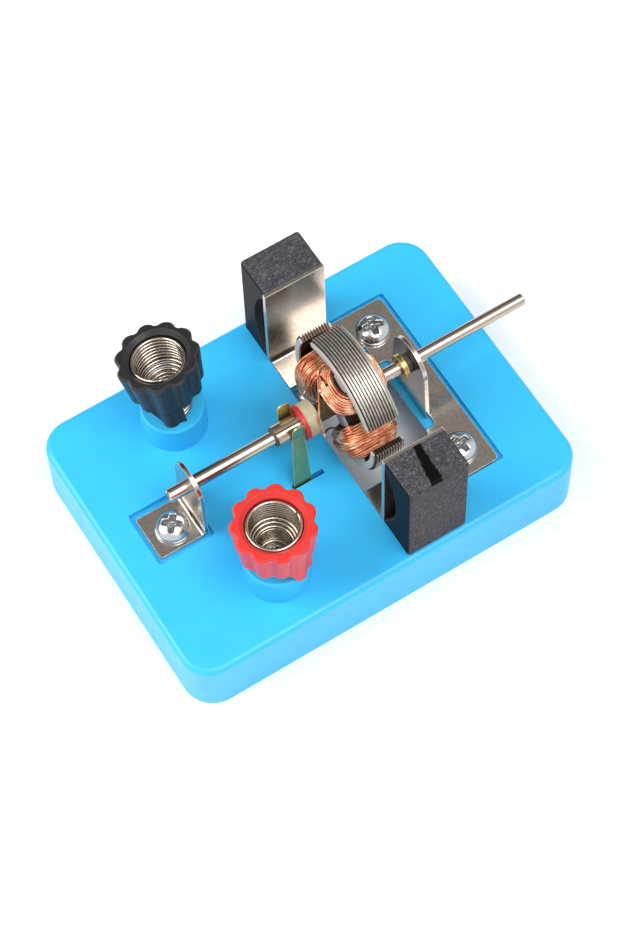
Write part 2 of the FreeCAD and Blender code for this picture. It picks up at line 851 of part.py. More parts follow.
def make_coil(number):
    """The winding of one pole: a rounded ring about the neck, drawn out along the pole."""
    coil = new_body(f"coil_{number + 1}")
    core_front = insulator_front - sheet.coil_gap
    core_back = stack_back + sheet.insulator_thickness + sheet.coil_gap
    core_half_width = sheet.neck_width / 2 + sheet.coil_gap
    winding = new_sketch(coil, "XY_Plane", sheet.coil_inner)
    rounded_rectangle(
        winding, core_front - sheet.coil_end_front, core_back + sheet.coil_end_rear,
        -sheet.coil_half_width, sheet.coil_half_width, sheet.coil_corner,
    )
    pad(coil, winding, sheet.coil_outer - sheet.coil_inner)
    ends = sheet.coil_inner, sheet.coil_outer
    chamfer(coil, sheet.coil_bevel, lambda edge: any(level(edge, 2, end) for end in ends))
    core = new_sketch(coil, "XY_Plane", sheet.coil_inner)
    rectangle(core, core_front, core_back, -core_half_width, core_half_width)
    cut(coil, core, sheet.coil_outer - sheet.coil_inner)
    place_on_shaft(coil, as_size(360 / POLES * number))
    return coil


def make_commutator():
    ring_bore = sheet.tube_radius + sheet.shaft_fit
    tube_length = insulator_front - sheet.lamination_gap - sheet.tube_front
    pieces = [
        make_sleeve("commutator_tube", sheet.tube_front, tube_length, sheet.tube_radius, fitted_radius),
        make_sleeve("commutator_ring", ring_front, sheet.ring_length, sheet.ring_radius, ring_bore),
        make_sleeve("commutator_drum", drum_front, sheet.drum_length, sheet.drum_radius, ring_bore),
    ]
    for number in range(POLES):
        pieces.append(make_segment(number))
    return pieces


def make_segment(number):
    """One copper bar of the commutator. It starts a slit past its pole's angle and ends a slit short."""
    segment = new_body(f"commutator_segment_{number + 1}")
    inner = sheet.tube_radius + sheet.shaft_fit
    slit_angle = sheet.segment_slit / 2 / segment_radius * math.degrees(1)
    start = slit_angle + 90
    end = -slit_angle + 90 + 360 / POLES
    section = new_sketch(segment, "YZ_Plane", sheet.segment_front)
    outline(section, [
        (segment_radius * cosine(start), segment_radius * sine(start)), left_arc(0, 0),
        (segment_radius * cosine(end), segment_radius * sine(end)),
        (inner * cosine(end), inner * sine(end)), right_arc(0, 0),
        (inner * cosine(start), inner * sine(start)),
    ])
    pad(segment, section, sheet.segment_length)
    place_on_shaft(segment, sheet.segment_turn + 360 / POLES * number)
    return segment


# ---------------------------------------------------------------- brushes


def make_brush(colour, side):
    """A strip that runs flat under the base, comes up through its slot and leans on the commutator."""
    brush = new_body(f"brush_{colour}_side")
    foot_back = sheet.brush_foot_front + sheet.brush_foot_width
    slot_outer = sheet.brush_slot_y + sheet.brush_thickness
    half_foot = sheet.brush_foot_width / 2

    tail = new_sketch(brush, "XY_Plane", tail_z)
    outline(tail, [
        (sheet.brush_foot_front, sheet.brush_slot_y * side), (foot_back, sheet.brush_slot_y * side),
        (sheet.post_x + half_foot, sheet.post_y * side), (sheet.post_x - half_foot, sheet.post_y * side),
    ])
    pad(brush, tail, sheet.brush_thickness)
    ring = new_sketch(brush, "XY_Plane", tail_z)
    circle(ring, sheet.post_x, sheet.post_y * side, sheet.brush_ring_radius)
    pad(brush, ring, sheet.brush_thickness)
    hole = new_sketch(brush, "XY_Plane", tail_z)
    circle(hole, sheet.post_x, sheet.post_y * side, sheet.brush_ring_hole)
    cut(brush, hole, sheet.brush_thickness)

    riser = new_sketch(brush, "XY_Plane", tail_z)
    rectangle(riser, sheet.brush_foot_front, foot_back, sheet.brush_slot_y * side, slot_outer * side)
    pad(brush, riser, sheet.base_height - tail_z)

    brush_blade(brush, side)
    return brush


def brush_blade(brush, side):
    """The springy blade, lofted from the slot to its rubbing line and on to its rounded tip."""
    reach = segment_radius + sheet.brush_gap
    slope = (sheet.brush_slot_y - reach) / sheet.shaft_rise
    contact_y = reach * root(slope * slope + 1)
    contact_back = sheet.brush_contact_front + sheet.brush_contact_width
    levels = [
        (sheet.base_height, sheet.brush_slot_y,
         sheet.brush_foot_front, sheet.brush_foot_front + sheet.brush_foot_width),
        (shaft_z, contact_y, sheet.brush_contact_front, contact_back),
        (shaft_z + sheet.brush_tip_height, contact_y + sheet.brush_tip_flare,
         sheet.brush_contact_front, contact_back),
    ]
    for lower, upper in zip(levels, levels[1:]):
        sections = []
        for z, y, front, back in (lower, upper):
            section = new_sketch(brush, "XY_Plane", z)
            rectangle(section, front, back, y * side, (y + sheet.brush_thickness) * side)
            sections.append(section)
        loft = brush.newObject("PartDesign::AdditiveLoft", f"{brush.Label}_loft")
        loft.Profile = sections[0]
        loft.Sections = sections[1:]
        loft.Ruled = True
    top = shaft_z + sheet.brush_tip_height
    fillet(brush, sheet.brush_tip_round, lambda edge: runs_along(edge, 1) and level(edge, 2, top))


# ---------------------------------------------------------------- fasteners


def domed_screw(name, under_head, head_radius, head_height, rim, shank_radius, length):
    """A screw standing on the origin's axis: a plain shank, and a head whose dome is a few cones."""
    screw = new_body(name)
    dome = [(head_radius, under_head + rim)]
    for band in range(1, DOME_BANDS):
        rise = as_size(90 / DOME_BANDS * band)
        dome.append((head_radius * cosine(rise), under_head + rim + (head_height - rim) * sine(rise)))
    profile = new_sketch(screw, "XZ_Plane")
    outline(profile, [
        (0, under_head - length), (shank_radius / 2, under_head - length),
        (shank_radius, under_head - length + shank_radius), (shank_radius, under_head),
        (head_radius, under_head), *dome, (0, under_head + head_height),
    ])
    revolve(screw, profile, "V_Axis")
    return screw


def make_plate_screws():
    names = ["front_bracket_screw"] + [f"yoke_screw_{colour}_side" for colour in SIDES]
    screws = []
    for name, (x, y) in zip(names, screw_places()):
        screw = domed_screw(
            name, sheet_top, sheet.screw_head_radius, sheet.screw_head_height, sheet.screw_head_rim,
            sheet.screw_shank_radius, sheet.screw_length,
        )
        stand(screw, x, y, 0)
        screws.append(screw)
    return screws


def make_terminal_fasteners(colour, side):
    screw = domed_screw(
        f"terminal_screw_{colour}", terminal_head_z, sheet.terminal_head_radius,
        sheet.terminal_head_height, sheet.terminal_head_rim,
        sheet.terminal_shank_radius, sheet.terminal_length,
    )
    hole_radius = sheet.terminal_shank_radius + sheet.seat_gap

    washer = new_body(f"terminal_washer_{colour}")
    disc = new_sketch(washer, "XY_Plane", washer_z)
    circle(disc, 0, 0, sheet.washer_radius)
    circle(disc, 0, 0, hole_radius)
    pad(washer, disc, sheet.washer_thickness)

    nut = new_body(f"terminal_nut_{colour}")
    hexagon = new_sketch(nut, "XY_Plane", nut_z)
    polygon(hexagon, NUT_SIDES, sheet.nut_flats / 2 / math.cos(math.pi / NUT_SIDES))
    circle(hexagon, 0, 0, hole_radius)
    pad(nut, hexagon, sheet.nut_thickness)

    pieces = [screw, washer, nut]
    for piece in pieces:
        stand(piece, sheet.post_x, sheet.post_y * side, 0)
    return pieces


# ---------------------------------------------------------------- terminal springs


def coil_points(stages):
    """Points along a coil about the Z axis. Each stage is (turns, start radius, end radius, pitch)."""
    points = []
    turned = 0.0
    height = 0.0
    for turns, first, last, pitch in stages:
        steps = round(turns * SPRING_POINTS_PER_TURN)
        for step in range(steps):
            radius = first + (last - first) * step / steps
            points.append(FreeCAD.Vector(radius * math.cos(turned), radius * math.sin(turned), height))
            turned += 2 * math.pi * turns / steps
            height += pitch * turns / steps
    radius = stages[-1][2]
    points.append(FreeCAD.Vector(radius * math.cos(turned), radius * math.sin(turned), height))
    return points


def leaned(point, lean, heading, pivot, full):
    """A point turned about the pivot's height, little by little up to the full lean at a height."""
    share = min(max(point.z / full, 0.0), 1.0)
    axis = FreeCAD.Vector(-math.sin(math.radians(heading)), math.cos(math.radians(heading)), 0)
    middle = FreeCAD.Vector(0, 0, pivot)
    return middle + FreeCAD.Rotation(axis, lean * share).multVec(point - middle)


def wire_along(points):
    """A wire of few sides swept along a chain of short straight runs."""
    radius = sheet.wire.value / 2
    ahead = (points[1] - points[0]).normalize()
    across = ahead.cross(FreeCAD.Vector(0, 0, 1)).normalize()
    upward = ahead.cross(across)
    corners = []
    for corner in range(SPRING_SIDES):
        turn = 2 * math.pi * corner / SPRING_SIDES
        corners.append(points[0] + (across * math.cos(turn) + upward * math.sin(turn)) * radius)
    section = Part.makePolygon(corners + corners[:1])
    mitred = 1
    return Part.makePolygon(points).makePipeShell([section], True, False, mitred)


def make_spring(colour, side):
    """A terminal spring: a flat spiral under the screw's head, then narrow, flaring and wide turns."""
    narrow, wide, pitch = sheet.narrow_radius.value, sheet.wide_radius.value, sheet.close_pitch.value
    stages = [
        (sheet.spiral_turns.value, sheet.spiral_radius.value, narrow, 0.0),
        (sheet.lift_turns.value, narrow, narrow, pitch),
    ]
    if colour == "red":
        stages += [
            (sheet.red_narrow_turns.value, narrow, narrow, pitch),
            (sheet.red_flare_turns.value, narrow, wide, sheet.red_flare_pitch.value),
            (sheet.wide_turns.value, wide, wide, sheet.red_wide_pitch.value),
        ]
    else:
        stages += [
            (sheet.black_narrow_turns.value, narrow, narrow, sheet.black_narrow_pitch.value),
            (sheet.black_flare_turns.value, narrow, wide, sheet.black_flare_pitch.value),
            (sheet.wide_turns.value, wide, wide, sheet.black_wide_pitch.value),
        ]
    points = coil_points(stages)
    foot = post_top + sheet.wire / 2 + sheet.seat_gap
    if colour == "black":
        pivot, full = lean_pivot.value - foot.value, cap_z["black"].value - foot.value
        lean, heading = sheet.black_lean.value, sheet.black_lean_heading.value
        points = [leaned(point, lean, heading, pivot, full) for point in points]
    spring = doc.addObject("Part::Feature", f"terminal_spring_{colour}")
    spring.Label = spring.Name
    spring.Shape = wire_along(points)
    stand(spring, sheet.post_x, sheet.post_y * side, foot)
    return spring


# ---------------------------------------------------------------- terminal caps

cap_z = {
    "red": post_top + sheet.cap_rest,
    "black": post_top + sheet.cap_rest + sheet.black_raise,
}
lean_pivot = post_top + sheet.black_lean_height


def make_cap(colour, side):
    """A tapered grip with round lobes, a stepped bore for the wide turns and a tooth below its rim."""
    cap = new_body(f"terminal_cap_{colour}")
    height = sheet.cap_height
    taper = (sheet.cap_top_radius - sheet.cap_bottom_radius) / height
    levels = [
        (-sheet.tooth_length, sheet.cap_bottom_radius),
        (as_size(0), sheet.cap_bottom_radius),
        (height - sheet.cap_top_edge, sheet.cap_top_radius - taper * sheet.cap_top_edge),
        (height, sheet.cap_top_radius - sheet.cap_top_edge),
    ]
    sections = []
    for z, tip_radius in levels:
        section = new_sketch(cap, "XY_Plane", z)
        lobed_outline(section, tip_radius)
        sections.append(section)
    grip = cap.newObject("PartDesign::AdditiveLoft", f"{cap.Label}_grip")
    grip.Profile = sections[0]
    grip.Sections = sections[1:]
    grip.Ruled = True

    leave_tooth(cap)
    for floor, top, radius in (
        (as_size(0), sheet.cap_bore_floor, sheet.cap_neck_radius),
        (sheet.cap_bore_floor, height, sheet.cap_bore_radius),
    ):
        bore = new_sketch(cap, "XY_Plane", floor)
        circle(bore, 0, 0, radius)
        cut(cap, bore, top - floor)
    chamfer(cap, sheet.cap_mouth, lambda edge: level(edge, 2, height) and edge.isClosed())

    heading = sheet.red_tooth_heading if colour == "red" else sheet.black_tooth_heading
    upright = FreeCAD.Rotation(FreeCAD.Vector(0, 0, 1), heading.value)
    foot = FreeCAD.Vector(sheet.post_x.value, sheet.post_y.value * side, cap_z[colour].value)
    cap.Placement = FreeCAD.Placement(foot, upright)
    if colour == "black":
        lean_cap(cap, upright)
    else:
        stand(cap, sheet.post_x, sheet.post_y * side, cap_z[colour])
        bind(cap, "Placement.Rotation.Angle", heading)
    return cap


def lean_cap(cap, upright):
    """Tip the black cap over about a point inside its spring."""
    heading = math.radians(sheet.black_lean_heading.value)
    axis = FreeCAD.Vector(-math.sin(heading), math.cos(heading), 0)
    tilt = FreeCAD.Rotation(axis, sheet.black_lean.value)
    rise = cap_z["black"] - lean_pivot
    run = sine(sheet.black_lean) * rise
    cap.Placement = FreeCAD.Placement(FreeCAD.Vector(), tilt.multiply(upright))
    stand(
        cap,
        sheet.post_x + run * cosine(sheet.black_lean_heading),
        sheet.post_y + run * sine(sheet.black_lean_heading),
        lean_pivot + cosine(sheet.black_lean) * rise,
    )


def lobed_outline(sketch, tip_radius):
    """Round lobes with a round flute between each two, running smoothly into one another."""
    half_pitch = as_size(180) / sheet.cap_lobes
    reach = tip_radius - sheet.lobe_radius
    span = sheet.lobe_radius + sheet.flute_radius
    aside = reach * sine(half_pitch)
    hollow = reach * cosine(half_pitch) + root(span * span - aside * aside)
    share = sheet.lobe_radius / span
    along = reach + (hollow * cosine(half_pitch) - reach) * share
    across = hollow * sine(half_pitch) * share
    path = []
    for lobe in range(int(sheet.cap_lobes.value)):
        turn = half_pitch * (2 * lobe)
        next_flute = turn + half_pitch
        path += [
            (along * cosine(turn) + across * sine(turn), along * sine(turn) - across * cosine(turn)),
            left_arc(reach * cosine(turn), reach * sine(turn)),
            (along * cosine(turn) - across * sine(turn), along * sine(turn) + across * cosine(turn)),
            right_arc(hollow * cosine(next_flute), hollow * sine(next_flute)),
        ]
    outline(sketch, path)


def leave_tooth(cap):
    """Cut away what is below the rim but for one tooth, with a ramp down one of its sides."""
    half_angle = sheet.tooth_angle / 2
    inner, outer = sheet.tooth_inner, sheet.cap_top_radius
    along, across = cosine(half_angle), sine(half_angle)
    waste = new_sketch(cap, "XY_Plane", -sheet.tooth_length)
    outline(waste, [
        (outer * along, outer * across), left_arc(0, 0), (outer * along, -outer * across),
        (inner * along, -inner * across), left_arc(0, 0), (inner * along, inner * across),
    ])
    cut(cap, waste, sheet.tooth_length)
    ramp = new_sketch(cap, "YZ_Plane")
    side_y = -sheet.cap_bottom_radius * across
    outline(ramp, [
        (side_y, 0), (side_y - sheet.tooth_ramp, 0), (side_y - sheet.tooth_ramp, -sheet.tooth_length),
        (side_y + sheet.tooth_ramp, -sheet.tooth_length),
    ])
    cut(cap, ramp, outer)
    foot = -sheet.tooth_length
    fillet(cap, sheet.tooth_round, lambda edge: level(edge, 2, foot) and is_straight(edge))


# ---------------------------------------------------------------- the whole motor


def make_parts():
    parts = [make_base(), make_front_bracket(), make_yoke_plate()]
    parts += make_plate_screws()
    for colour, side in SIDES.items():
        parts.append(make_magnet(colour, side))
        parts.append(make_brush(colour, side))
        parts.append(make_spring(colour, side))
        parts += make_terminal_fasteners(colour, side)
        parts.append(make_cap(colour, side))
    parts.append(make_shaft())
    parts += make_laminations()
    parts += make_end_insulators()
    parts += [make_coil(number) for number in range(POLES)]
    parts += make_commutator()
    parts.append(make_sleeve(
        "thrust_collar", collar_front, sheet.collar_length, sheet.collar_radius, fitted_radius
    ))
    parts.append(make_sleeve(
        "spacer_washer", spacer_front, sheet.spacer_length, sheet.spacer_radius, fitted_radius
    ))
    return parts


def check(parts):
    """Stop if any feature failed or any piece is empty or broken."""
    failed = [item.Name for item in doc.Objects if {"Invalid", "Error"} & set(item.State)]
    if failed:
        raise RuntimeError(f"failed features: {failed}")
    for part in parts:
        if part.Shape.isNull() or not part.Shape.isValid():
            raise RuntimeError(f"{part.Label} has no valid shape")
        if len(part.Shape.Solids) != 1:
            raise RuntimeError(f"{part.Label} is {len(part.Shape.Solids)} solids")


motor_parts = make_parts()
doc.recompute()
check(motor_parts)
os.makedirs("parts", exist_ok=True)
for motor_part in motor_parts:
    motor_part.Shape.exportStep(f"parts/{motor_part.Label}.step")
print(len(motor_parts), "parts")
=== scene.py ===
import json
import math
import random

import bpy
from mathutils import Matrix, Vector


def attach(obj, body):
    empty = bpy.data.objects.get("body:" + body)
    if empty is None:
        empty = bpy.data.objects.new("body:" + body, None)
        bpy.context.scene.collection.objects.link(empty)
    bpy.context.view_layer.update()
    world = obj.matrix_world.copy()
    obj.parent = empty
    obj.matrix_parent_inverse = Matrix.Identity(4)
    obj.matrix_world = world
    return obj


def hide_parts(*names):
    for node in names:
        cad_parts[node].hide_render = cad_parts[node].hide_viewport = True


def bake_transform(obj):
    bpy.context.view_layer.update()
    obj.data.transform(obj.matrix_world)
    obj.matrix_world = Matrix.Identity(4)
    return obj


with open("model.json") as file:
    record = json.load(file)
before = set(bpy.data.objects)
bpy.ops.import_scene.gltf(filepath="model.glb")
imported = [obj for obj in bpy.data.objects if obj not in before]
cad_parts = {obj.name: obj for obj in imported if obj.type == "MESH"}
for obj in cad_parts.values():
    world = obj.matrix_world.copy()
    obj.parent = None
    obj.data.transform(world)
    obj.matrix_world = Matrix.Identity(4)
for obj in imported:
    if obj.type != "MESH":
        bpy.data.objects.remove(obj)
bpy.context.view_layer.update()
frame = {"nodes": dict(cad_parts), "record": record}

# Demonstration electric motor. Lengths are written in millimetres and turned to metres by MM.

MM = 0.001
NODES = frame["nodes"]
SIDES = {"red": -1, "black": 1}

# Camera, solved from the edges of the base
CAMERA_TARGET = Vector((0.09, -0.41, 9.13)) * MM
CAMERA_DISTANCE = 655.6 * MM
CAMERA_AZIMUTH = math.radians(-29.61)
CAMERA_ELEVATION = math.radians(62.74)
CAMERA_ROLL = math.radians(-2.60)
CAMERA_LENS = 161.27
CAMERA_SENSOR = 36.0
CAMERA_CLIP = 0.01

# Studio, in metres: a sky from in front of the motor (0) to behind it (1) as (place, level, warmth)
SKY_SHADES = (
    (0.0, 0.88, 1.0), (0.52, 0.88, 1.0), (0.62, 0.5, 0.94), (0.72, 0.4, 0.92), (0.85, 0.2, 0.96),
    (1.0, 0.14, 1.0),
)
SKY_STRENGTH = 0.9
LIGHT_AIM = (0, 0, 0.02)
LIGHTS = {
    "key": {"place": (-0.78, 0.42, 0.85), "size": 0.85, "power": 11},
    "top": {"place": (0.15, -0.45, 1.1), "size": 0.8, "power": 8},
}
FLOOR_SIZE = 6.0

# Shaft and armature
SHAFT_Z = 31.8
ROTOR_ANGLE = math.radians(11.6)
POLES = 3
STACK_FRONT = 7.76
STACK_PITCH = 0.73
SHEET_SHARE = 0.85
SWEEP_RADIUS = 17.5

# Wound coils, seen from their own pole: x along the shaft, across the pole, and out from the axis
COIL_FRONT = 3.42
COIL_BACK = 18.49
COIL_HALF_WIDTH = 6.75
COIL_INNER = 5.5
COIL_OUTER = 13.9
COIL_SHOULDER = 2.0
COIL_SHOULDER_POWER = 2.5
COIL_SQUARENESS = 2.8
NECK_HALF_LENGTH = 4.5
NECK_HALF_WIDTH = 2.55
STRAND_RADIUS = 0.26
STRAND_POINTS = 40
STRAND_SIDES = 8
HEART_STEPS = 48
HEART_ROWS = 12
HEART_INSET = 1.1
UNDER_TURNS = 16
UNDER_INSET = 0.66
BUNDLES = 5
BUNDLE_TURNS = 3
BUNDLE_INSET = 0.3
BUNDLE_LIFTS = (0.4, 1.1)
BUNDLE_SWINGS = (-0.5, 0.5)
STRAYS = 2
STRAY_TURNS = 1.5
STRAY_CLIMB = 0.55
STRAY_MARGIN = 2.0
STRAY_LIFTS = (1.0, 1.8)
STRAY_SWINGS = (1.0, 2.2)
BURIED_DEPTH = 0.7
BURIED_POINTS = STRAND_POINTS / 5
COIL_TILTS = ((0.9, 0.6), (1.0, 2.4), (0.8, 4.0))
COIL_SEED = 100

# Leads from the coils to the tabs behind the commutator's drum
# The standing lead starts at (x, radius, degrees) about the shaft
LEAD_RADIUS = 0.23
PATH_STEPS = 8
STANDING_START = (1.3, 4.6, 112)
STANDING_LEAD = (
    (0.95, -3.79, 34.5), (1.53, -2.88, 36.3), (2.24, -1.74, 37.6), (2.96, -0.57, 39.0), (3.3, 0.12, 41.9),
    (4.0, 1.3, 44.2), (4.9, 2.7, 45.3), (6.4, 3.6, 44.8), (7.7, 4.2, 43.4),
)
LOWER_LEAD = ((2.9, -4.6, 31.4), (3.9, -5.2, 31.7), (5.3, -6.2, 30.6))
REAR_LEAD = ((3.0, 5.6, 33.4), (4.4, 6.6, 32.6), (6.2, 6.9, 31.4))
HIDDEN_LEAD = ((3.0, 2.2, 26.4), (4.4, 4.0, 26.6), (6.4, 5.2, 27.2))
STRAY_END = (
    (4.88, 1.85, 44.4), (4.74, 0.92, 44.9), (4.8, 0.62, 44.5), (4.88, -0.12, 45.2), (4.68, -0.78, 45.1),
    (4.7, -1.6, 45.3),
)
TAB_X = 1.85
TAB_ROOT = 3.2
TAB_END = 5.5
TAB_WIDTH = 1.3
TAB_THICKNESS = 0.32
TAB_ANGLES = (122.0, 275.0, 198.0)
TAB_ROUTE = (
    (TAB_X + 0.2, TAB_ROOT), (TAB_X + 0.15, TAB_END - 0.9), (TAB_X - 0.05, TAB_END - 0.2),
    (TAB_X - 0.6, TAB_END),
)
TAB_STEPS = 5
TAB_CORNER = 0.3
TAB_SEED = 7
SOLDER_PLACE = (TAB_X - 0.05, TAB_END - 0.55)
SOLDER_SIZE = 0.62
SOLDER_ROWS = 8
SOLDER_STEPS = 12
SOLDER_UNEVEN = (0.86, 1.12)
SOLDER_LENGTH = 0.7
SOLDER_HEIGHT = 0.8

# Terminal springs: stages are (turns, first radius, last radius, pitch)
POST_X = -22.75
POST_Y = 23.0
POST_TOP = 25.6
WIRE_RADIUS = 0.5
SPRING_GAP = 0.02
SPRING_POINTS = 40
SPRING_SIDES = 14
SPRING_STAGES = {
    "red": [
        (2.0, 2.3, 4.4, 0.0), (0.5, 4.4, 4.4, 1.04), (4.5, 4.4, 4.4, 1.04),
        (3.0, 4.4, 6.1, 0.95), (7.0, 6.1, 6.1, 1.02),
    ],
    "black": [
        (2.0, 2.3, 4.4, 0.0), (0.5, 4.4, 4.4, 1.04), (5.1, 4.4, 4.4, 1.36),
        (3.1, 4.4, 6.1, 1.03), (7.0, 6.1, 6.1, 1.13),
    ],
}

# The black spring tips over with its cap
LEAN = {"red": 0.0, "black": math.radians(10.1)}
LEAN_HEADING = math.radians(113.3)
LEAN_PIVOT = 3.98
LEAN_FULL = 9.23

# Screws: the head, its cross recess and the thread below it
PLATE_SCREW = {
    "head": 4.1, "height": 3.0, "rim": 0.7, "reach": 2.5, "arm": 0.72, "depth": 1.5,
    "shank": 1.6, "length": 9.5, "pitch": 1.1,
}
TERMINAL_SCREW = {
    "head": 2.6, "height": 1.6, "rim": 0.4, "reach": 1.5, "arm": 0.42, "depth": 0.9,
    "shank": 1.5, "length": 16.0, "pitch": 0.5,
}
PLATE_SEAT = 16.8
TERMINAL_SEAT = 26.64
TERMINAL_TURN = 30
# Each plate screw's place and the turn of its cross in degrees
PLATE_SCREWS = {
    "front_bracket_screw": (-37.2, -0.5, 52),
    "yoke_screw_black_side": (29.8, 18.8, -12),
    "yoke_screw_red_side": (29.8, -18.8, 16),
}
HEAD_RINGS = 44
SCREW_STEPS = 112
CROWN_POWER = 2.3
CROWN_ROUNDNESS = 0.56
RIM_FOOT = 0.12
SEAT_SHARE = 0.975
CROSS_FLARE = 1.25
CROSS_TAPER = 0.35
CROSS_WALL = (-0.10, 0.14)
CROSS_END = (-0.12, 0.55)
SUNK_SHARE = 0.15
THREAD_STEPS = 28
THREAD_ROWS = 8
THREAD_RIDGE = 0.14
THREAD_PLAY = 0.01
TIP_LENGTH = 1.2
TIP_SHARE = 0.75

# The red side's magnet has a stripe of black paint across its top
STRIPE_MIDDLE = (12.15, -31.8)
STRIPE_SLANT = 0.11
STRIPE_HALF_WIDTH = 1.33
STRIPE_TAPER = 0.06
STRIPE_SOFTNESS = 0.2
STRIPE_WOBBLE = 0.45
STRIPE_FLOOR = 46.6

# Textures: the part of a noise's range in use, and the cosines between which an edge takes its painted
# highlight
NOISE_LOW = 0.3
NOISE_HIGH = 0.7
EDGE_FLAT = 0.985
EDGE_TURNED = 0.88
BEVEL_SAMPLES = 4


# ---------------------------------------------------------------- meshes


def new_piece(name, mesh, body, material, replaced=()):
    """Make an object of a mesh, dress it, and let it ride on a body in place of CAD nodes.
    """
    piece = bpy.data.objects.new(name, mesh)
    bpy.context.scene.collection.objects.link(piece)
    mesh.materials.append(material)
    if body:
        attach(piece, body)
    if replaced:
        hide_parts(*replaced)
    return piece


def smooth_mesh(name, vertices, faces):
    """A smooth-shaded mesh from vertices in millimetres."""
    mesh = bpy.data.meshes.new(name)
    mesh.from_pydata([Vector(vertex) * MM for vertex in vertices], [], faces)
    mesh.validate()
    mesh.shade_smooth()
    return mesh


def tube(points, radius, sides=12):
    """Vertices and faces of a round wire along points, kept from twisting by carrying its frame along."""
    count = len(points)
    vertices, faces = [], []
    normal = None
    for number, point in enumerate(points):
        before = points[max(number - 1, 0)]
        after = points[min(number + 1, count - 1)]
        ahead = (after - before).normalized()
        if normal is None:
            normal = ahead.orthogonal().normalized()
        normal = (normal - ahead * normal.dot(ahead)).normalized()
        across = ahead.cross(normal)
        for side in range(sides):
            turn = 2 * math.pi * side / sides
            vertices.append(point + (normal * math.cos(turn) + across * math.sin(turn)) * radius)
    for ring in range(count - 1):
        start, end = ring * sides, (ring + 1) * sides
        for side in range(sides):
            other = (side + 1) % sides
            faces.append((start + side, start + other, end + other, end + side))
    faces.append(tuple(reversed(range(sides))))
    faces.append(tuple(range((count - 1) * sides, count * sides)))
    return vertices, faces


def smooth_path(points, steps=8):
    """A curve through points, with steps to each stretch between two of them."""
    points = [Vector(point) for point in points]
    path = []
    for number in range(len(points) - 1):
        before = points[max(number - 1, 0)]
        first, last = points[number], points[number + 1]
        after = points[min(number + 2, len(points) - 1)]
        for step in range(steps):
            share = step / steps
            path.append(0.5 * (
                2 * first + (last - before) * share
                + (2 * before - 5 * first + 4 * last - after) * share ** 2
                + (3 * first - before - 3 * last + after) * share ** 3
            ))
    path.append(points[-1])
    return path


def join_parts(parts):
    """One list of vertices and faces from several."""
    vertices, faces = [], []
    for part_vertices, part_faces in parts:
        start = len(vertices)
        vertices += part_vertices
        faces += [tuple(index + start for index in face) for face in part_faces]
    return vertices, faces


def ring_faces(rings, steps, closed=False):
    """Faces that join each ring of vertices to the next, and the last to the first if closed."""
    faces = []
    for ring in range(rings if closed else rings - 1):
        start, end = ring * steps, ((ring + 1) % rings) * steps
        for step in range(steps):
            other = (step + 1) % steps
            faces.append((start + step, start + other, end + other, end + step))
    return faces


def eased(value, low, high):
    """0 below a low value, 1 above a high one, and a smooth step between."""
    share = min(max((value - low) / (high - low), 0.0), 1.0)
    return share * share * (3 - 2 * share)


# ---------------------------------------------------------------- materials


def srgb(red, green, blue):
    """A colour given as 0 to 255, made linear."""
    linear = []
    for level in (red, green, blue):
        share = level / 255
        linear.append(share / 12.92 if share <= 0.04045 else ((share + 0.055) / 1.055) ** 2.4)
    return (*linear, 1.0)


def dimmed(colour, share):
    return tuple(level * share for level in colour[:3]) + (1.0,)


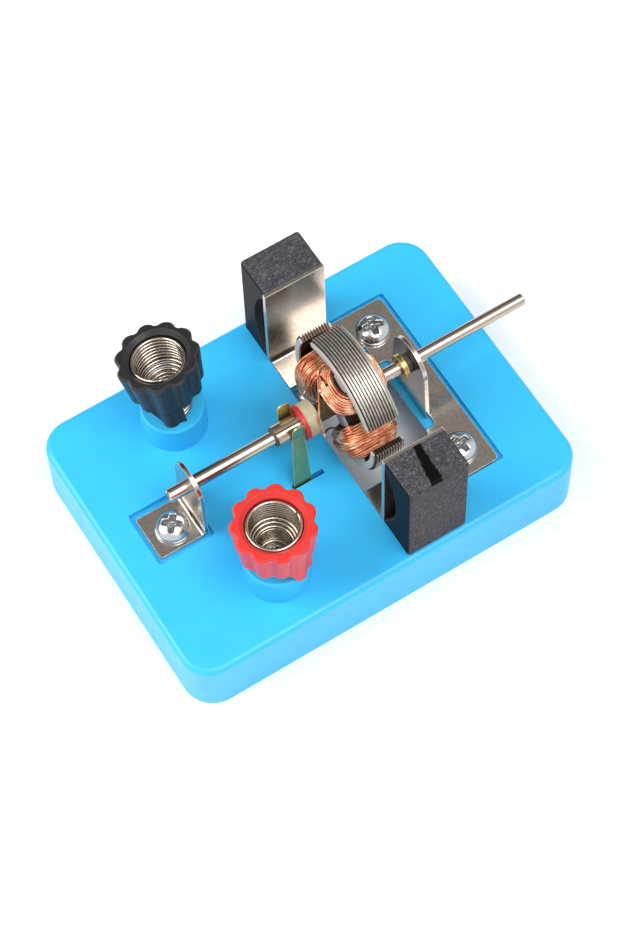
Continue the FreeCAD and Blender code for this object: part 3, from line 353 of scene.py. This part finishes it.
class Shader:
    """A Principled material under construction, with its textures measured in millimetres."""

    def __init__(self, name, **settings):
        self.material = bpy.data.materials.new(name)
        self.material.use_nodes = True
        self.tree = self.material.node_tree
        self.surface = self.tree.nodes["Principled BSDF"]
        for socket, value in settings.items():
            self.surface.inputs[socket.replace("_", " ")].default_value = value
        self.place = self.add("ShaderNodeTexCoord").outputs["Object"]

    def add(self, kind, **inputs):
        node = self.tree.nodes.new(kind)
        for name, value in inputs.items():
            self.feed(node.inputs[name.replace("_", " ")], value)
        return node

    def feed(self, socket, value):
        """Link a socket to another node's output, or set it to a number."""
        if isinstance(value, bpy.types.NodeSocket):
            self.tree.links.new(value, socket)
        else:
            socket.default_value = value

    def link(self, output, name):
        self.tree.links.new(output, self.surface.inputs[name])

    def stretched(self, x, y, z):
        """Object coordinates in millimetres, squeezed along an axis by a factor under 1."""
        mapping = self.add("ShaderNodeMapping", Vector=self.place)
        mapping.inputs["Scale"].default_value = (x / MM, y / MM, z / MM)
        return mapping.outputs["Vector"]

    def axes(self):
        """The three object coordinates in millimetres, each on its own."""
        return self.add("ShaderNodeSeparateXYZ", Vector=self.stretched(1, 1, 1)).outputs

    def noise(self, size, detail=3.0, stretch=(1, 1, 1), roughness=0.5):
        """Soft noise whose features are about a size in millimetres."""
        place = self.stretched(*stretch)
        return self.add(
            "ShaderNodeTexNoise", Vector=place, Scale=1 / size, Detail=detail, Roughness=roughness
        ).outputs["Fac"]

    def ramp(self, fac, stops):
        """A colour ramp from (position, colour) stops."""
        node = self.add("ShaderNodeValToRGB", Fac=fac)
        elements = node.color_ramp.elements
        elements[0].position, elements[0].color = stops[0]
        elements[1].position, elements[1].color = stops[-1]
        for position, colour in stops[1:-1]:
            elements.new(position).color = colour
        return node.outputs["Color"]

    def span(self, value, low, high, new_low, new_high):
        node = self.add("ShaderNodeMapRange", Value=value)
        for name, number in zip(("From Min", "From Max", "To Min", "To Max"), (low, high, new_low, new_high)):
            self.feed(node.inputs[name], number)
        return node.outputs["Result"]

    def vary(self, noise, first, last):
        """A number that follows a noise from a first value to a last."""
        return self.span(noise, NOISE_LOW, NOISE_HIGH, first, last)

    def mix(self, fac, first, second):
        node = self.tree.nodes.new("ShaderNodeMix")
        node.data_type = "RGBA"
        for name, value in (("Factor_Float", fac), ("A_Color", first), ("B_Color", second)):
            self.feed(next(item for item in node.inputs if item.identifier == name), value)
        return next(item for item in node.outputs if item.identifier == "Result_Color")

    def math(self, operation, first, second=0.0):
        node = self.tree.nodes.new("ShaderNodeMath")
        node.operation = operation
        self.feed(node.inputs[0], first)
        self.feed(node.inputs[1], second)
        return node.outputs["Value"]

    def bump(self, height, depth, edge=0.0):
        """Raise the surface by up to a depth in millimetres, over edges rounded by a radius."""
        node = self.add("ShaderNodeBump", Height=height, Distance=depth * MM, Strength=1.0)
        if edge:
            self.tree.links.new(self.rounded(edge), node.inputs["Normal"])
        self.link(node.outputs["Normal"], "Normal")

    def rounded(self, edge):
        bevel = self.add("ShaderNodeBevel", Radius=edge * MM)
        bevel.samples = BEVEL_SAMPLES
        return bevel.outputs["Normal"]

    def edges(self, reach):
        """1 on edges out to a reach in millimetres, where a painted highlight makes them bright, and 0 on
        open faces.
        """
        facing = self.add("ShaderNodeNewGeometry").outputs["Normal"]
        both = self.tree.nodes.new("ShaderNodeVectorMath")
        both.operation = "DOT_PRODUCT"
        self.feed(both.inputs[0], self.rounded(reach))
        self.feed(both.inputs[1], facing)
        return self.span(both.outputs["Value"], EDGE_FLAT, EDGE_TURNED, 0.0, 1.0)


def plastic(name, colour, roughness, grain=0.004, edge=0.12, deep=0.92, mottle=9.0):
    """Glossy moulded plastic: a faint mottle in its colour and gloss, a painted highlight along its edges,
    and a fine orange peel.
    """
    highlight_gain, highlight_lift, highlight_share = 1.12, 0.05, 0.55
    shader = Shader(name, Roughness=roughness, Specular_IOR_Level=0.5)
    tones = [(NOISE_LOW, dimmed(colour, deep)), (NOISE_HIGH, colour)]
    tone = shader.ramp(shader.noise(mottle, 4.0), tones)
    # The edges are lifted towards a lighter tone: a painted highlight.
    highlight_tone = tuple(min(level * highlight_gain + highlight_lift, 1.0) for level in colour[:3]) + (1.0,)
    rim_highlight = shader.math("MULTIPLY", shader.edges(0.25), highlight_share)
    shader.link(shader.mix(rim_highlight, tone, highlight_tone), "Base Color")
    shader.link(shader.vary(shader.noise(2.5), roughness * 0.85, roughness * 1.2), "Roughness")
    shader.bump(shader.noise(0.35, 2.0), grain, edge)
    return shader.material


def plated(name, colour, roughness, mottle_size=1.6, depth=0.002, edge=0.1, contrast=0.18, bright=None):
    """Bright plating: blotches in the gloss, a fine ripple, and, given a bright colour, a painted highlight
    along its edges, where it is made less metallic.
    """
    highlight_reach, highlight_metallic = 0.3, 0.45
    shader = Shader(name, Metallic=1.0, Roughness=roughness)
    blotch = shader.noise(mottle_size, 6.0, roughness=0.7)
    tone = shader.ramp(blotch, [(0.32, dimmed(colour, 1 - contrast)), (0.68, colour)])
    # A painted highlight: the edges take the bright colour and lose some of their metallic look.
    if bright is not None:
        lit_edges = shader.edges(highlight_reach)
        tone = shader.mix(lit_edges, tone, bright)
        shader.link(shader.span(lit_edges, 0.0, 1.0, 1.0, highlight_metallic), "Metallic")
    shader.link(tone, "Base Color")
    fine = shader.noise(0.22, 3.0)
    shader.link(shader.vary(fine, roughness * 0.7, roughness * 1.35), "Roughness")
    shader.bump(shader.noise(0.5, 4.0), depth, edge)
    return shader.material


def drawn_steel(name, colour, roughness, edge=0.08, deep=0.8):
    """Drawn rod: streaks along X in colour and gloss."""
    shader = Shader(name, Metallic=1.0, Roughness=roughness)
    streaks = shader.noise(0.35, 4.0, stretch=(0.02, 1, 1))
    shader.link(shader.ramp(streaks, [(0.32, dimmed(colour, deep)), (0.65, colour)]), "Base Color")
    shader.link(shader.vary(streaks, roughness * 1.4, roughness * 0.75), "Roughness")
    shader.bump(shader.noise(0.12, 3.0, stretch=(0.015, 1, 1)), 0.002, edge)
    return shader.material


def laminated_steel(name):
    """Stamped sheets: painted shade darkens each sheet towards the crease where it meets the next, and inside
    the sweep the sheets take a darker brown, painted shade with a painted copper reflection.
    """
    worn_tones = [(0.32, srgb(158, 152, 142)), (0.55, srgb(190, 184, 174)), (0.72, srgb(212, 208, 200))]
    sheet_gap_shade, inner_copper_reflection, deep_gap_shade = srgb(72, 66, 60), srgb(96, 72, 60), srgb(30, 25, 23)
    shader = Shader(name, Metallic=0.75, Roughness=0.36)
    along = shader.math("DIVIDE", shader.math("SUBTRACT", shader.axes()["X"], STACK_FRONT), STACK_PITCH)
    share = shader.math("FRACT", along)
    middle = SHEET_SHARE / 2
    off_middle = shader.math("ABSOLUTE", shader.math("SUBTRACT", share, middle))
    # Painted shade in the creases between sheets.
    edge = shader.span(off_middle, middle * 0.42, middle * 0.86, 0.0, 1.0)
    worn = shader.ramp(shader.noise(1.1, 5.0, roughness=0.65), worn_tones)
    place = shader.axes()
    off_axis = shader.math("SUBTRACT", place["Z"], SHAFT_Z)
    squares = shader.math("ADD", shader.math("POWER", place["Y"], 2.0), shader.math("POWER", off_axis, 2.0))
    radius = shader.math("SQRT", squares)
    # Painted shade and a painted copper reflection on the faces inside the sweep.
    inside = shader.span(radius, SWEEP_RADIUS - 0.55, SWEEP_RADIUS - 0.2, 1.0, 0.0)
    swept = shader.mix(edge, worn, sheet_gap_shade)
    shader.link(shader.mix(inside, swept, shader.mix(edge, inner_copper_reflection, deep_gap_shade)), "Base Color")
    shader.link(shader.vary(shader.noise(0.3), 0.28, 0.46), "Roughness")
    shader.bump(shader.noise(0.25, 3.0, stretch=(0.3, 1, 1)), 0.004)
    return shader.material


def ferrite(name, striped=False):
    """Sintered magnet: dark grey with light and dark grains, painted shade on the faces that look along X, a
    painted highlight along its edges, and on one of them a stripe of black paint.
    """
    grain_tones = [(0.34, srgb(36, 35, 37)), (0.52, srgb(76, 74, 78)), (0.70, srgb(146, 144, 148))]
    shaded_end_tones = [(0.35, srgb(12, 12, 15)), (0.7, srgb(28, 28, 33))]
    swirl_tone, edge_glint_tone, paint = srgb(40, 38, 40), srgb(120, 120, 122), srgb(14, 13, 14)
    shader = Shader(name, Roughness=0.5, IOR=1.12, Specular_IOR_Level=0.5)
    grain = shader.noise(0.32, 6.0, roughness=0.8)
    swirl = shader.noise(1.5, 4.0, roughness=0.7)
    body = shader.ramp(grain, grain_tones)
    body = shader.mix(shader.span(swirl, 0.42, 0.62, 0.45, 0.0), body, swirl_tone)
    # Painted shade: the faces that look along X take darker tones.
    normal = shader.add("ShaderNodeSeparateXYZ", Vector=shader.add("ShaderNodeNewGeometry").outputs["Normal"])
    end = shader.span(shader.math("ABSOLUTE", normal.outputs["X"]), 0.6, 0.9, 0.0, 1.0)
    body = shader.mix(end, body, shader.ramp(grain, shaded_end_tones))
    # Painted highlight: the edges are lightened.
    body = shader.mix(shader.math("MULTIPLY", shader.edges(0.3), 0.5), body, edge_glint_tone)
    gloss = shader.math("MULTIPLY", shader.vary(grain, 0.36, 0.62), shader.span(end, 0.0, 1.0, 1.0, 0.9))
    if striped:
        painted = stripe_mask(shader)
        body = shader.mix(painted, body, paint)
        gloss = shader.math("MULTIPLY", gloss, shader.span(painted, 0.0, 1.0, 1.0, 0.7))
    shader.link(body, "Base Color")
    shader.link(gloss, "Roughness")
    shader.bump(grain, 0.016, 0.2)
    return shader.material


def stripe_mask(shader):
    """1 within a slanting band across the top of the magnet, with a hand-painted edge, and 0 elsewhere."""
    place = shader.axes()
    wobble = shader.span(shader.noise(1.2, 2.0), 0.0, 1.0, -STRIPE_WOBBLE, STRIPE_WOBBLE)
    depth = shader.math("SUBTRACT", place["Y"], STRIPE_MIDDLE[1])
    middle = shader.math("MULTIPLY_ADD", depth, STRIPE_SLANT)
    middle.node.inputs[2].default_value = STRIPE_MIDDLE[0]
    across = shader.math("ABSOLUTE", shader.math("SUBTRACT", place["X"], middle))
    widening = shader.math("MULTIPLY", depth, STRIPE_TAPER)
    edge = shader.math("ADD", shader.math("ADD", across, wobble), widening)
    near, far = STRIPE_HALF_WIDTH - STRIPE_SOFTNESS, STRIPE_HALF_WIDTH + STRIPE_SOFTNESS
    inside = shader.span(edge, near, far, 1.0, 0.0)
    return shader.math("MULTIPLY", inside, shader.math("GREATER_THAN", place["Z"], STRIPE_FLOOR))


def enamelled_copper(name):
    """Copper wire under clear enamel: light and dark turns with bright highlights."""
    shader = Shader(name, Metallic=0.78, Roughness=0.26)
    copper = [(0.30, srgb(196, 108, 74)), (0.5, srgb(232, 156, 116)), (0.68, srgb(255, 214, 178))]
    shader.link(shader.ramp(shader.noise(2.6, 3.0), copper), "Base Color")
    shader.link(shader.vary(shader.noise(0.9), 0.22, 0.34), "Roughness")
    return shader.material


MATERIALS = {
    "blue_plastic": plastic("blue_plastic", srgb(48, 184, 242), 0.36, deep=0.94),
    "red_plastic": plastic("red_plastic", srgb(212, 46, 40), 0.36),
    "black_plastic": plastic("black_plastic", srgb(30, 31, 34), 0.38),
    "red_ring": plastic("red_ring", srgb(198, 44, 38), 0.42, deep=0.7),
    "beige_drum": plastic("beige_drum", srgb(182, 172, 140), 0.45, deep=0.72, mottle=1.6),
    "insulating_tube": plastic("insulating_tube", srgb(84, 74, 52), 0.5),
    "insulator": plastic("insulator", srgb(184, 180, 172), 0.4),
    # The spacer's dark grey-brown is painted shade, so that it reads as a shaft in shadow.
    "dark_spacer": plastic("dark_spacer", srgb(74, 68, 60), 0.42),
    "nickel_plate": plated(
        "nickel_plate", srgb(202, 193, 183), 0.2, 0.9, contrast=0.26, bright=srgb(255, 248, 234)
    ),
    "zinc_screw": plated("zinc_screw", srgb(228, 231, 234), 0.2, contrast=0.12),
    "zinc_fastener": plated("zinc_fastener", srgb(214, 216, 220), 0.18),
    "spring_wire": plated("spring_wire", srgb(192, 180, 166), 0.2, contrast=0.12),
    "collar_brass": plated("collar_brass", srgb(204, 176, 112), 0.26, bright=srgb(250, 228, 166)),
    "brush_brass": plated(
        "brush_brass", srgb(186, 184, 132), 0.36, contrast=0.22, bright=srgb(214, 206, 160)
    ),
    "commutator_copper": drawn_steel("commutator_copper", srgb(206, 184, 160), 0.22),
    "shaft_steel": drawn_steel("shaft_steel", srgb(204, 190, 176), 0.2),
    "lamination_steel": laminated_steel("lamination_steel"),
    "ferrite": ferrite("ferrite"),
    "enamelled_copper": enamelled_copper("enamelled_copper"),
}
STRIPED_FERRITE = ferrite("striped_ferrite", striped=True)
# A darker grey for the faces deep in each cross recess: painted shade.
RECESS_SHADE = plated("cross_recess_shade", srgb(158, 160, 158), 0.3, 0.5, contrast=0.35)
# Darker copper: on each coil's heart it is painted shade in the gaps between the outer turns, and the lower
# and stray leads are drawn in it.
DARK_SHADE_COPPER = plated("dark_shade_copper", srgb(84, 62, 48), 0.4, 0.5)
TINNED = plated("tinned_tab", srgb(226, 224, 218), 0.24, 0.5, depth=0.02)


def dress_cad_nodes():
    slots = {entry["node"]: entry["material_slot"] for entry in frame["record"]["subparts"]}
    for name, node in NODES.items():
        node.data.materials.clear()
        node.data.materials.append(MATERIALS[slots[name]])
    NODES["magnet_red_side"].data.materials[0] = STRIPED_FERRITE


# ---------------------------------------------------------------- terminal springs


def coil_points(stages, points_per_turn):
    """The middle line of a spring that stands on its foot."""
    points = []
    turned = 0.0
    height = 0.0
    for turns, first, last, pitch in stages:
        steps = round(turns * points_per_turn)
        for step in range(steps):
            radius = first + (last - first) * step / steps
            points.append(Vector((radius * math.cos(turned), radius * math.sin(turned), height)))
            turned += 2 * math.pi * turns / steps
            height += pitch * turns / steps
    radius = stages[-1][2]
    points.append(Vector((radius * math.cos(turned), radius * math.sin(turned), height)))
    return points


def leaned(point, lean):
    """A point of a spring that tips over little by little, up to its full lean at a height."""
    share = min(max(point.z / LEAN_FULL, 0.0), 1.0)
    axis = Vector((-math.sin(LEAN_HEADING), math.cos(LEAN_HEADING), 0))
    middle = Vector((0, 0, LEAN_PIVOT))
    return middle + Matrix.Rotation(lean * share, 3, axis) @ (point - middle)


def make_spring(colour, side):
    foot = Vector((POST_X, POST_Y * side, POST_TOP + WIRE_RADIUS + SPRING_GAP))
    middle_line = coil_points(SPRING_STAGES[colour], SPRING_POINTS)
    points = [foot + leaned(point, LEAN[colour]) for point in middle_line]
    mesh = smooth_mesh(f"spring_{colour}", *tube(points, WIRE_RADIUS, SPRING_SIDES))
    piece = new_piece(
        f"wound_spring_{colour}", mesh, None, MATERIALS["spring_wire"],
        [f"terminal_spring_{colour}"],
    )
    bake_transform(piece)


# ---------------------------------------------------------------- screws


def cross_depth(screw, radius, turn):
    """How deep the cross recess is at a place on the head, from 0 to 1."""
    deepest = 0.0
    for arm in (turn, turn + math.pi / 2):
        along, aside = abs(radius * math.cos(arm)), abs(radius * math.sin(arm))
        narrowed = screw["arm"] * (CROSS_FLARE - CROSS_TAPER * along / screw["reach"])
        walls = eased(narrowed - aside, *CROSS_WALL)
        end = eased(screw["reach"] - along, *CROSS_END)
        deepest = max(deepest, walls * end * (1 - CROSS_TAPER * along / screw["reach"]))
    return deepest


def screw_mesh(name, screw, cross_turn):
    """A pan-head screw about Z with its seat at 0: domed head, cross recess and threaded shank."""
    dome = screw["height"] - screw["rim"]
    rings = []
    sunk = {}
    for ring in range(1, HEAD_RINGS + 1):
        radius = screw["head"] * math.sin(math.pi / 2 * ring / HEAD_RINGS)
        fall = max(1 - (radius / screw["head"]) ** CROWN_POWER, 0.0)
        crown = screw["rim"] + dome * fall ** CROWN_ROUNDNESS
        circle = []
        for step in range(SCREW_STEPS):
            turn = 2 * math.pi * step / SCREW_STEPS
            depth = screw["depth"] * cross_depth(screw, radius, turn - cross_turn)
            sunk[(ring - 1) * SCREW_STEPS + step] = depth
            circle.append(Vector((radius * math.cos(turn), radius * math.sin(turn), crown - depth)))
        rings.append(circle)
    plain = [
        (screw["head"], screw["rim"] * RIM_FOOT), (screw["head"] * SEAT_SHARE, 0.0), (screw["shank"], 0.0),
    ]
    for radius, height in plain:
        rings.append(circle_of(radius, height, SCREW_STEPS))
    vertices = [vertex for circle in rings for vertex in circle]
    faces = ring_faces(len(rings), SCREW_STEPS)
    vertices.append(Vector((0, 0, screw["height"] - screw["depth"])))
    middle = len(vertices) - 1
    sunk[middle] = screw["depth"]
    for step in range(SCREW_STEPS):
        faces.append((middle, step, (step + 1) % SCREW_STEPS))
    faces.append(tuple(range((len(rings) - 1) * SCREW_STEPS, len(rings) * SCREW_STEPS)))
    mesh = smooth_mesh(name, *join_parts([(vertices, faces), thread(screw)]))
    # Faces deep in the cross recess take the second material, a darker grey: painted shade.
    least = SUNK_SHARE * screw["depth"]
    for face in mesh.polygons:
        if all(number in sunk and sunk[number] > least for number in face.vertices):
            face.material_index = 1
    return mesh


def circle_of(radius, height, steps):
    turns = [2 * math.pi * step / steps for step in range(steps)]
    return [Vector((radius * math.cos(turn), radius * math.sin(turn), height)) for turn in turns]


def thread(screw):
    """The shank below the seat, whose ridge winds down it."""
    rows = round(screw["length"] / screw["pitch"] * THREAD_ROWS)
    vertices = []
    for row in range(rows + 1):
        height = -screw["length"] * row / rows
        taper = TIP_SHARE + (1 - TIP_SHARE) * eased(screw["length"] + height, 0.0, TIP_LENGTH)
        for step in range(THREAD_STEPS):
            turn = 2 * math.pi * step / THREAD_STEPS
            wave = math.cos(turn - 2 * math.pi * height / screw["pitch"])
            radius = (screw["shank"] - THREAD_RIDGE + THREAD_RIDGE * wave) * taper - THREAD_PLAY
            vertices.append(Vector((radius * math.cos(turn), radius * math.sin(turn), height)))
    faces = ring_faces(rows + 1, THREAD_STEPS)
    faces.append(tuple(range(THREAD_STEPS)))
    faces.append(tuple(reversed(range(rows * THREAD_STEPS, (rows + 1) * THREAD_STEPS))))
    return vertices, faces


def make_screw(node, screw, place, cross_turn, slot):
    mesh = screw_mesh(f"cross_{node}", screw, math.radians(cross_turn))
    mesh.transform(Matrix.Translation(Vector(place) * MM))
    new_piece(f"cross_{node}", mesh, "motor_frame", MATERIALS[slot], [node])
    mesh.materials.append(RECESS_SHADE)


def make_screws():
    for node, (x, y, cross_turn) in PLATE_SCREWS.items():
        make_screw(node, PLATE_SCREW, (x, y, PLATE_SEAT), cross_turn, "zinc_screw")
    for colour, side in SIDES.items():
        place = (POST_X, POST_Y * side, TERMINAL_SEAT)
        make_screw(f"terminal_screw_{colour}", TERMINAL_SCREW, place, TERMINAL_TURN, "zinc_fastener")


# ---------------------------------------------------------------- windings


def at_pole(pole, x, across, out):
    """A point of a pole's own frame, in millimetres."""
    turn = ROTOR_ANGLE + 2 * math.pi * pole / POLES
    return Vector((
        x,
        across * math.cos(turn) - out * math.sin(turn),
        SHAFT_Z + across * math.sin(turn) + out * math.cos(turn),
    ))


def around(turn, half_length, half_width):
    """A rounded rectangle about the middle of the neck: x and across at a turn."""
    along, aside = math.cos(turn), math.sin(turn)
    share = 2 / COIL_SQUARENESS
    return (
        (COIL_FRONT + COIL_BACK) / 2 + half_length * math.copysign(abs(along) ** share, along),
        half_width * math.copysign(abs(aside) ** share, aside),
    )


def shoulder(out):
    """How far the winding's outside draws in towards its inner and outer ends."""
    share = (out - COIL_INNER) / (COIL_OUTER - COIL_INNER)
    return COIL_SHOULDER * abs(2 * share - 1) ** COIL_SHOULDER_POWER


def on_winding(pole, turn, out, inset):
    inset += shoulder(out)
    half_length = (COIL_BACK - COIL_FRONT) / 2 - inset
    return at_pole(pole, *around(turn, half_length, COIL_HALF_WIDTH - inset), out)


def winding_heart(pole):
    """The solid middle of a coil, which closes the gaps between its outer turns."""
    vertices = []
    low, high = COIL_INNER + STRAND_RADIUS, COIL_OUTER - STRAND_RADIUS
    turns = [2 * math.pi * step / HEART_STEPS for step in range(HEART_STEPS)]
    for row in range(HEART_ROWS + 1):
        out = low + (high - low) * row / HEART_ROWS
        vertices += [on_winding(pole, turn, out, HEART_INSET) for turn in turns]
    for out in (high, low):
        for turn in turns:
            vertices.append(at_pole(pole, *around(turn, NECK_HALF_LENGTH, NECK_HALF_WIDTH), out))
    return vertices, ring_faces(HEART_ROWS + 3, HEART_STEPS, closed=True)


def winding(pole, first, last, turns, inset, lift=0.0, heading=0.0):
    """A wire laid from one distance out from the axis to another, in loops that tilt by a lift."""
    count = round(turns * STRAND_POINTS)
    points = []
    for step in range(count + 1):
        turn = 2 * math.pi * turns * step / count
        out = first + (last - first) * step / count + lift * math.cos(turn - heading)
        out = min(max(out, COIL_INNER + STRAND_RADIUS), COIL_OUTER - STRAND_RADIUS)
        buried = 1 - eased(min(step, count - step), 0, BURIED_POINTS)
        points.append(on_winding(pole, turn + heading, out, STRAND_RADIUS + inset + BURIED_DEPTH * buried))
    return tube(points, STRAND_RADIUS, STRAND_SIDES)


def make_coil(pole):
    """A coil: its heart in darker copper as painted shade between the turns, an even under layer, bundles of
    turns that tilt, and a few stray turns on top.
    """
    draw = random.Random(COIL_SEED + pole)
    low, high = COIL_INNER + STRAND_RADIUS, COIL_OUTER - STRAND_RADIUS
    heart = winding_heart(pole)
    parts = [heart, winding(pole, low, high, UNDER_TURNS, UNDER_INSET)]
    pitch = (high - low) / BUNDLES
    tilt, turned = COIL_TILTS[pole]
    for bundle in range(BUNDLES):
        first = low + pitch * bundle
        lift = tilt * draw.uniform(*BUNDLE_LIFTS)
        heading = turned + draw.uniform(*BUNDLE_SWINGS)
        parts.append(winding(pole, first, first + pitch, BUNDLE_TURNS, BUNDLE_INSET, lift, heading))
    for _ in range(STRAYS):
        start = draw.uniform(low + STRAY_MARGIN, high - STRAY_MARGIN)
        lift = draw.uniform(*STRAY_LIFTS)
        heading = turned + draw.uniform(*STRAY_SWINGS)
        parts.append(winding(pole, start, start + STRAY_CLIMB, STRAY_TURNS, 0.0, lift, heading))
    mesh = smooth_mesh(f"winding_{pole + 1}", *join_parts(parts))
    copper = MATERIALS["enamelled_copper"]
    new_piece(f"wound_coil_{pole + 1}", mesh, "rotor", copper, [f"coil_{pole + 1}"])
    # The heart takes the darker copper: painted shade in the gaps between the outer turns.
    mesh.materials.append(DARK_SHADE_COPPER)
    for face in mesh.polygons[:len(heart[1])]:
        face.material_index = 1


# ---------------------------------------------------------------- tabs and leads


def around_shaft(x, radius, degrees):
    turn = math.radians(degrees)
    return Vector((x, -radius * math.sin(turn), SHAFT_Z + radius * math.cos(turn)))


def strip(path, across, width, thickness):
    """A flat strip of metal along a path, with slightly rounded corners."""
    vertices = []
    corner = TAB_CORNER
    outline = [
        (1, corner), (1 - corner, 1), (corner - 1, 1), (-1, corner), (-1, -corner), (corner - 1, -1),
        (1 - corner, -1), (1, -corner),
    ]
    for number, point in enumerate(path):
        ahead = (path[min(number + 1, len(path) - 1)] - path[max(number - 1, 0)]).normalized()
        upward = ahead.cross(across).normalized()
        for aside, over in outline:
            vertices.append(point + across * (aside * width / 2) + upward * (over * thickness / 2))
    sides = len(outline)
    faces = ring_faces(len(path), sides)
    faces.append(tuple(reversed(range(sides))))
    faces.append(tuple(range((len(path) - 1) * sides, len(path) * sides)))
    return vertices, faces


def solder(middle, size, draw):
    """A lump of solder, uneven from one side to another."""
    rows, steps = SOLDER_ROWS, SOLDER_STEPS
    vertices = []
    uneven = [draw.uniform(*SOLDER_UNEVEN) for _ in range(steps)]
    for row in range(1, rows):
        tilt = math.pi * row / rows
        for step in range(steps):
            turn = 2 * math.pi * step / steps
            radius = size * math.sin(tilt) * uneven[step]
            vertices.append(middle + Vector((
                SOLDER_LENGTH * radius * math.cos(turn), radius * math.sin(turn),
                size * SOLDER_HEIGHT * math.cos(tilt),
            )))
    faces = ring_faces(rows - 1, steps)
    faces.append(tuple(reversed(range(steps))))
    faces.append(tuple(range((rows - 2) * steps, (rows - 1) * steps)))
    return vertices, faces


def make_tabs():
    """The three bars' tabs, bent out behind the drum and tinned where the leads are soldered on."""
    draw = random.Random(TAB_SEED)
    for number, degrees in enumerate(TAB_ANGLES):
        path = smooth_path([around_shaft(x, radius, degrees) for x, radius in TAB_ROUTE], TAB_STEPS)
        across = around_shaft(0, 1, degrees + 90) - Vector((0, 0, SHAFT_Z))
        lump = solder(around_shaft(*SOLDER_PLACE, degrees), SOLDER_SIZE, draw)
        tab = strip(path, across, TAB_WIDTH, TAB_THICKNESS)
        mesh = smooth_mesh(f"tab_{number + 1}", *join_parts([tab, lump]))
        new_piece(f"commutator_tab_{number + 1}", mesh, "rotor", TINNED)


def make_leads():
    """The coils' ends: one stands across the drum, three go straight to their coils, and one is loose."""
    tabs = [around_shaft(TAB_X, TAB_END - 0.5, degrees) for degrees in TAB_ANGLES]
    copper = MATERIALS["enamelled_copper"]
    leads = [
        ("standing", copper, [around_shaft(*STANDING_START), *STANDING_LEAD]),
        ("lower", DARK_SHADE_COPPER, [tabs[0], *LOWER_LEAD]),
        ("rear", copper, [tabs[1], *REAR_LEAD]),
        ("hidden", copper, [tabs[2], *HIDDEN_LEAD]),
        ("stray", DARK_SHADE_COPPER, STRAY_END),
    ]
    for name, material, route in leads:
        path = smooth_path(route, PATH_STEPS)
        mesh = smooth_mesh(f"lead_{name}", *tube(path, LEAD_RADIUS, STRAND_SIDES))
        new_piece(f"coil_lead_{name}", mesh, "rotor", material)


# ---------------------------------------------------------------- stage


def make_camera():
    back = Vector((
        math.sin(CAMERA_AZIMUTH) * math.cos(CAMERA_ELEVATION),
        -math.cos(CAMERA_AZIMUTH) * math.cos(CAMERA_ELEVATION),
        math.sin(CAMERA_ELEVATION),
    ))
    level = Vector((0, 0, 1)).cross(back).normalized()
    up = back.cross(level)
    right = level * math.cos(CAMERA_ROLL) + up * math.sin(CAMERA_ROLL)
    up = up * math.cos(CAMERA_ROLL) - level * math.sin(CAMERA_ROLL)
    data = bpy.data.cameras.new("photo_camera")
    data.sensor_fit = "HORIZONTAL"
    data.sensor_width = CAMERA_SENSOR
    data.lens = CAMERA_LENS
    data.clip_start = CAMERA_CLIP
    camera = bpy.data.objects.new("photo_camera", data)
    turn = Matrix((right, up, back)).transposed().to_4x4()
    camera.matrix_world = Matrix.Translation(CAMERA_TARGET + back * CAMERA_DISTANCE) @ turn
    bpy.context.scene.collection.objects.link(camera)
    bpy.context.scene.camera = camera


def make_light(name, place, size, power):
    """A round soft light that looks at the motor."""
    data = bpy.data.lights.new(name, "AREA")
    data.shape = "DISK"
    data.size = size
    data.energy = power
    light = bpy.data.objects.new(name, data)
    light.location = Vector(place)
    light.rotation_euler = (Vector(place) - Vector(LIGHT_AIM)).to_track_quat("Z", "Y").to_euler()
    bpy.context.scene.collection.objects.link(light)


def make_floor():
    bpy.ops.mesh.primitive_plane_add(size=FLOOR_SIZE, location=(0, 0, 0))
    floor = bpy.context.object
    floor.name = "floor"
    paper = Shader("paper", Roughness=0.9)
    shades = [(0.3, (0.92, 0.92, 0.92, 1)), (0.7, (0.95, 0.95, 0.95, 1))]
    paper.link(paper.ramp(paper.noise(40.0), shades), "Base Color")
    floor.data.materials.append(paper.material)


def make_studio():
    """A sky that is bright in front of the motor and dim behind it, and two soft lights."""
    world = bpy.data.worlds.new("studio")
    world.use_nodes = True
    tree = world.node_tree
    direction = tree.nodes.new("ShaderNodeTexCoord").outputs["Generated"]
    parts = tree.nodes.new("ShaderNodeSeparateXYZ")
    tree.links.new(direction, parts.inputs["Vector"])
    depth = tree.nodes.new("ShaderNodeMapRange")
    depth.inputs["From Min"].default_value = -1.0
    tree.links.new(parts.outputs["Y"], depth.inputs["Value"])
    sky = tree.nodes.new("ShaderNodeValToRGB")
    tree.links.new(depth.outputs["Result"], sky.inputs["Fac"])
    elements = sky.color_ramp.elements
    while len(elements) < len(SKY_SHADES):
        elements.new(0.5)
    for element, (position, level, warmth) in zip(elements, SKY_SHADES):
        element.position = position
        element.color = (level, level * (0.5 + warmth / 2), level * warmth, 1.0)
    background = tree.nodes["Background"]
    tree.links.new(sky.outputs["Color"], background.inputs["Color"])
    background.inputs["Strength"].default_value = SKY_STRENGTH
    bpy.context.scene.world = world
    bpy.context.scene.view_settings.view_transform = "Standard"

    for name, light in LIGHTS.items():
        make_light(name, light["place"], light["size"], light["power"])


make_camera()
make_floor()
make_studio()
dress_cad_nodes()
for spring_colour, spring_side in SIDES.items():
    make_spring(spring_colour, spring_side)
make_screws()
for pole_number in range(POLES):
    make_coil(pole_number)
make_tabs()
make_leads()
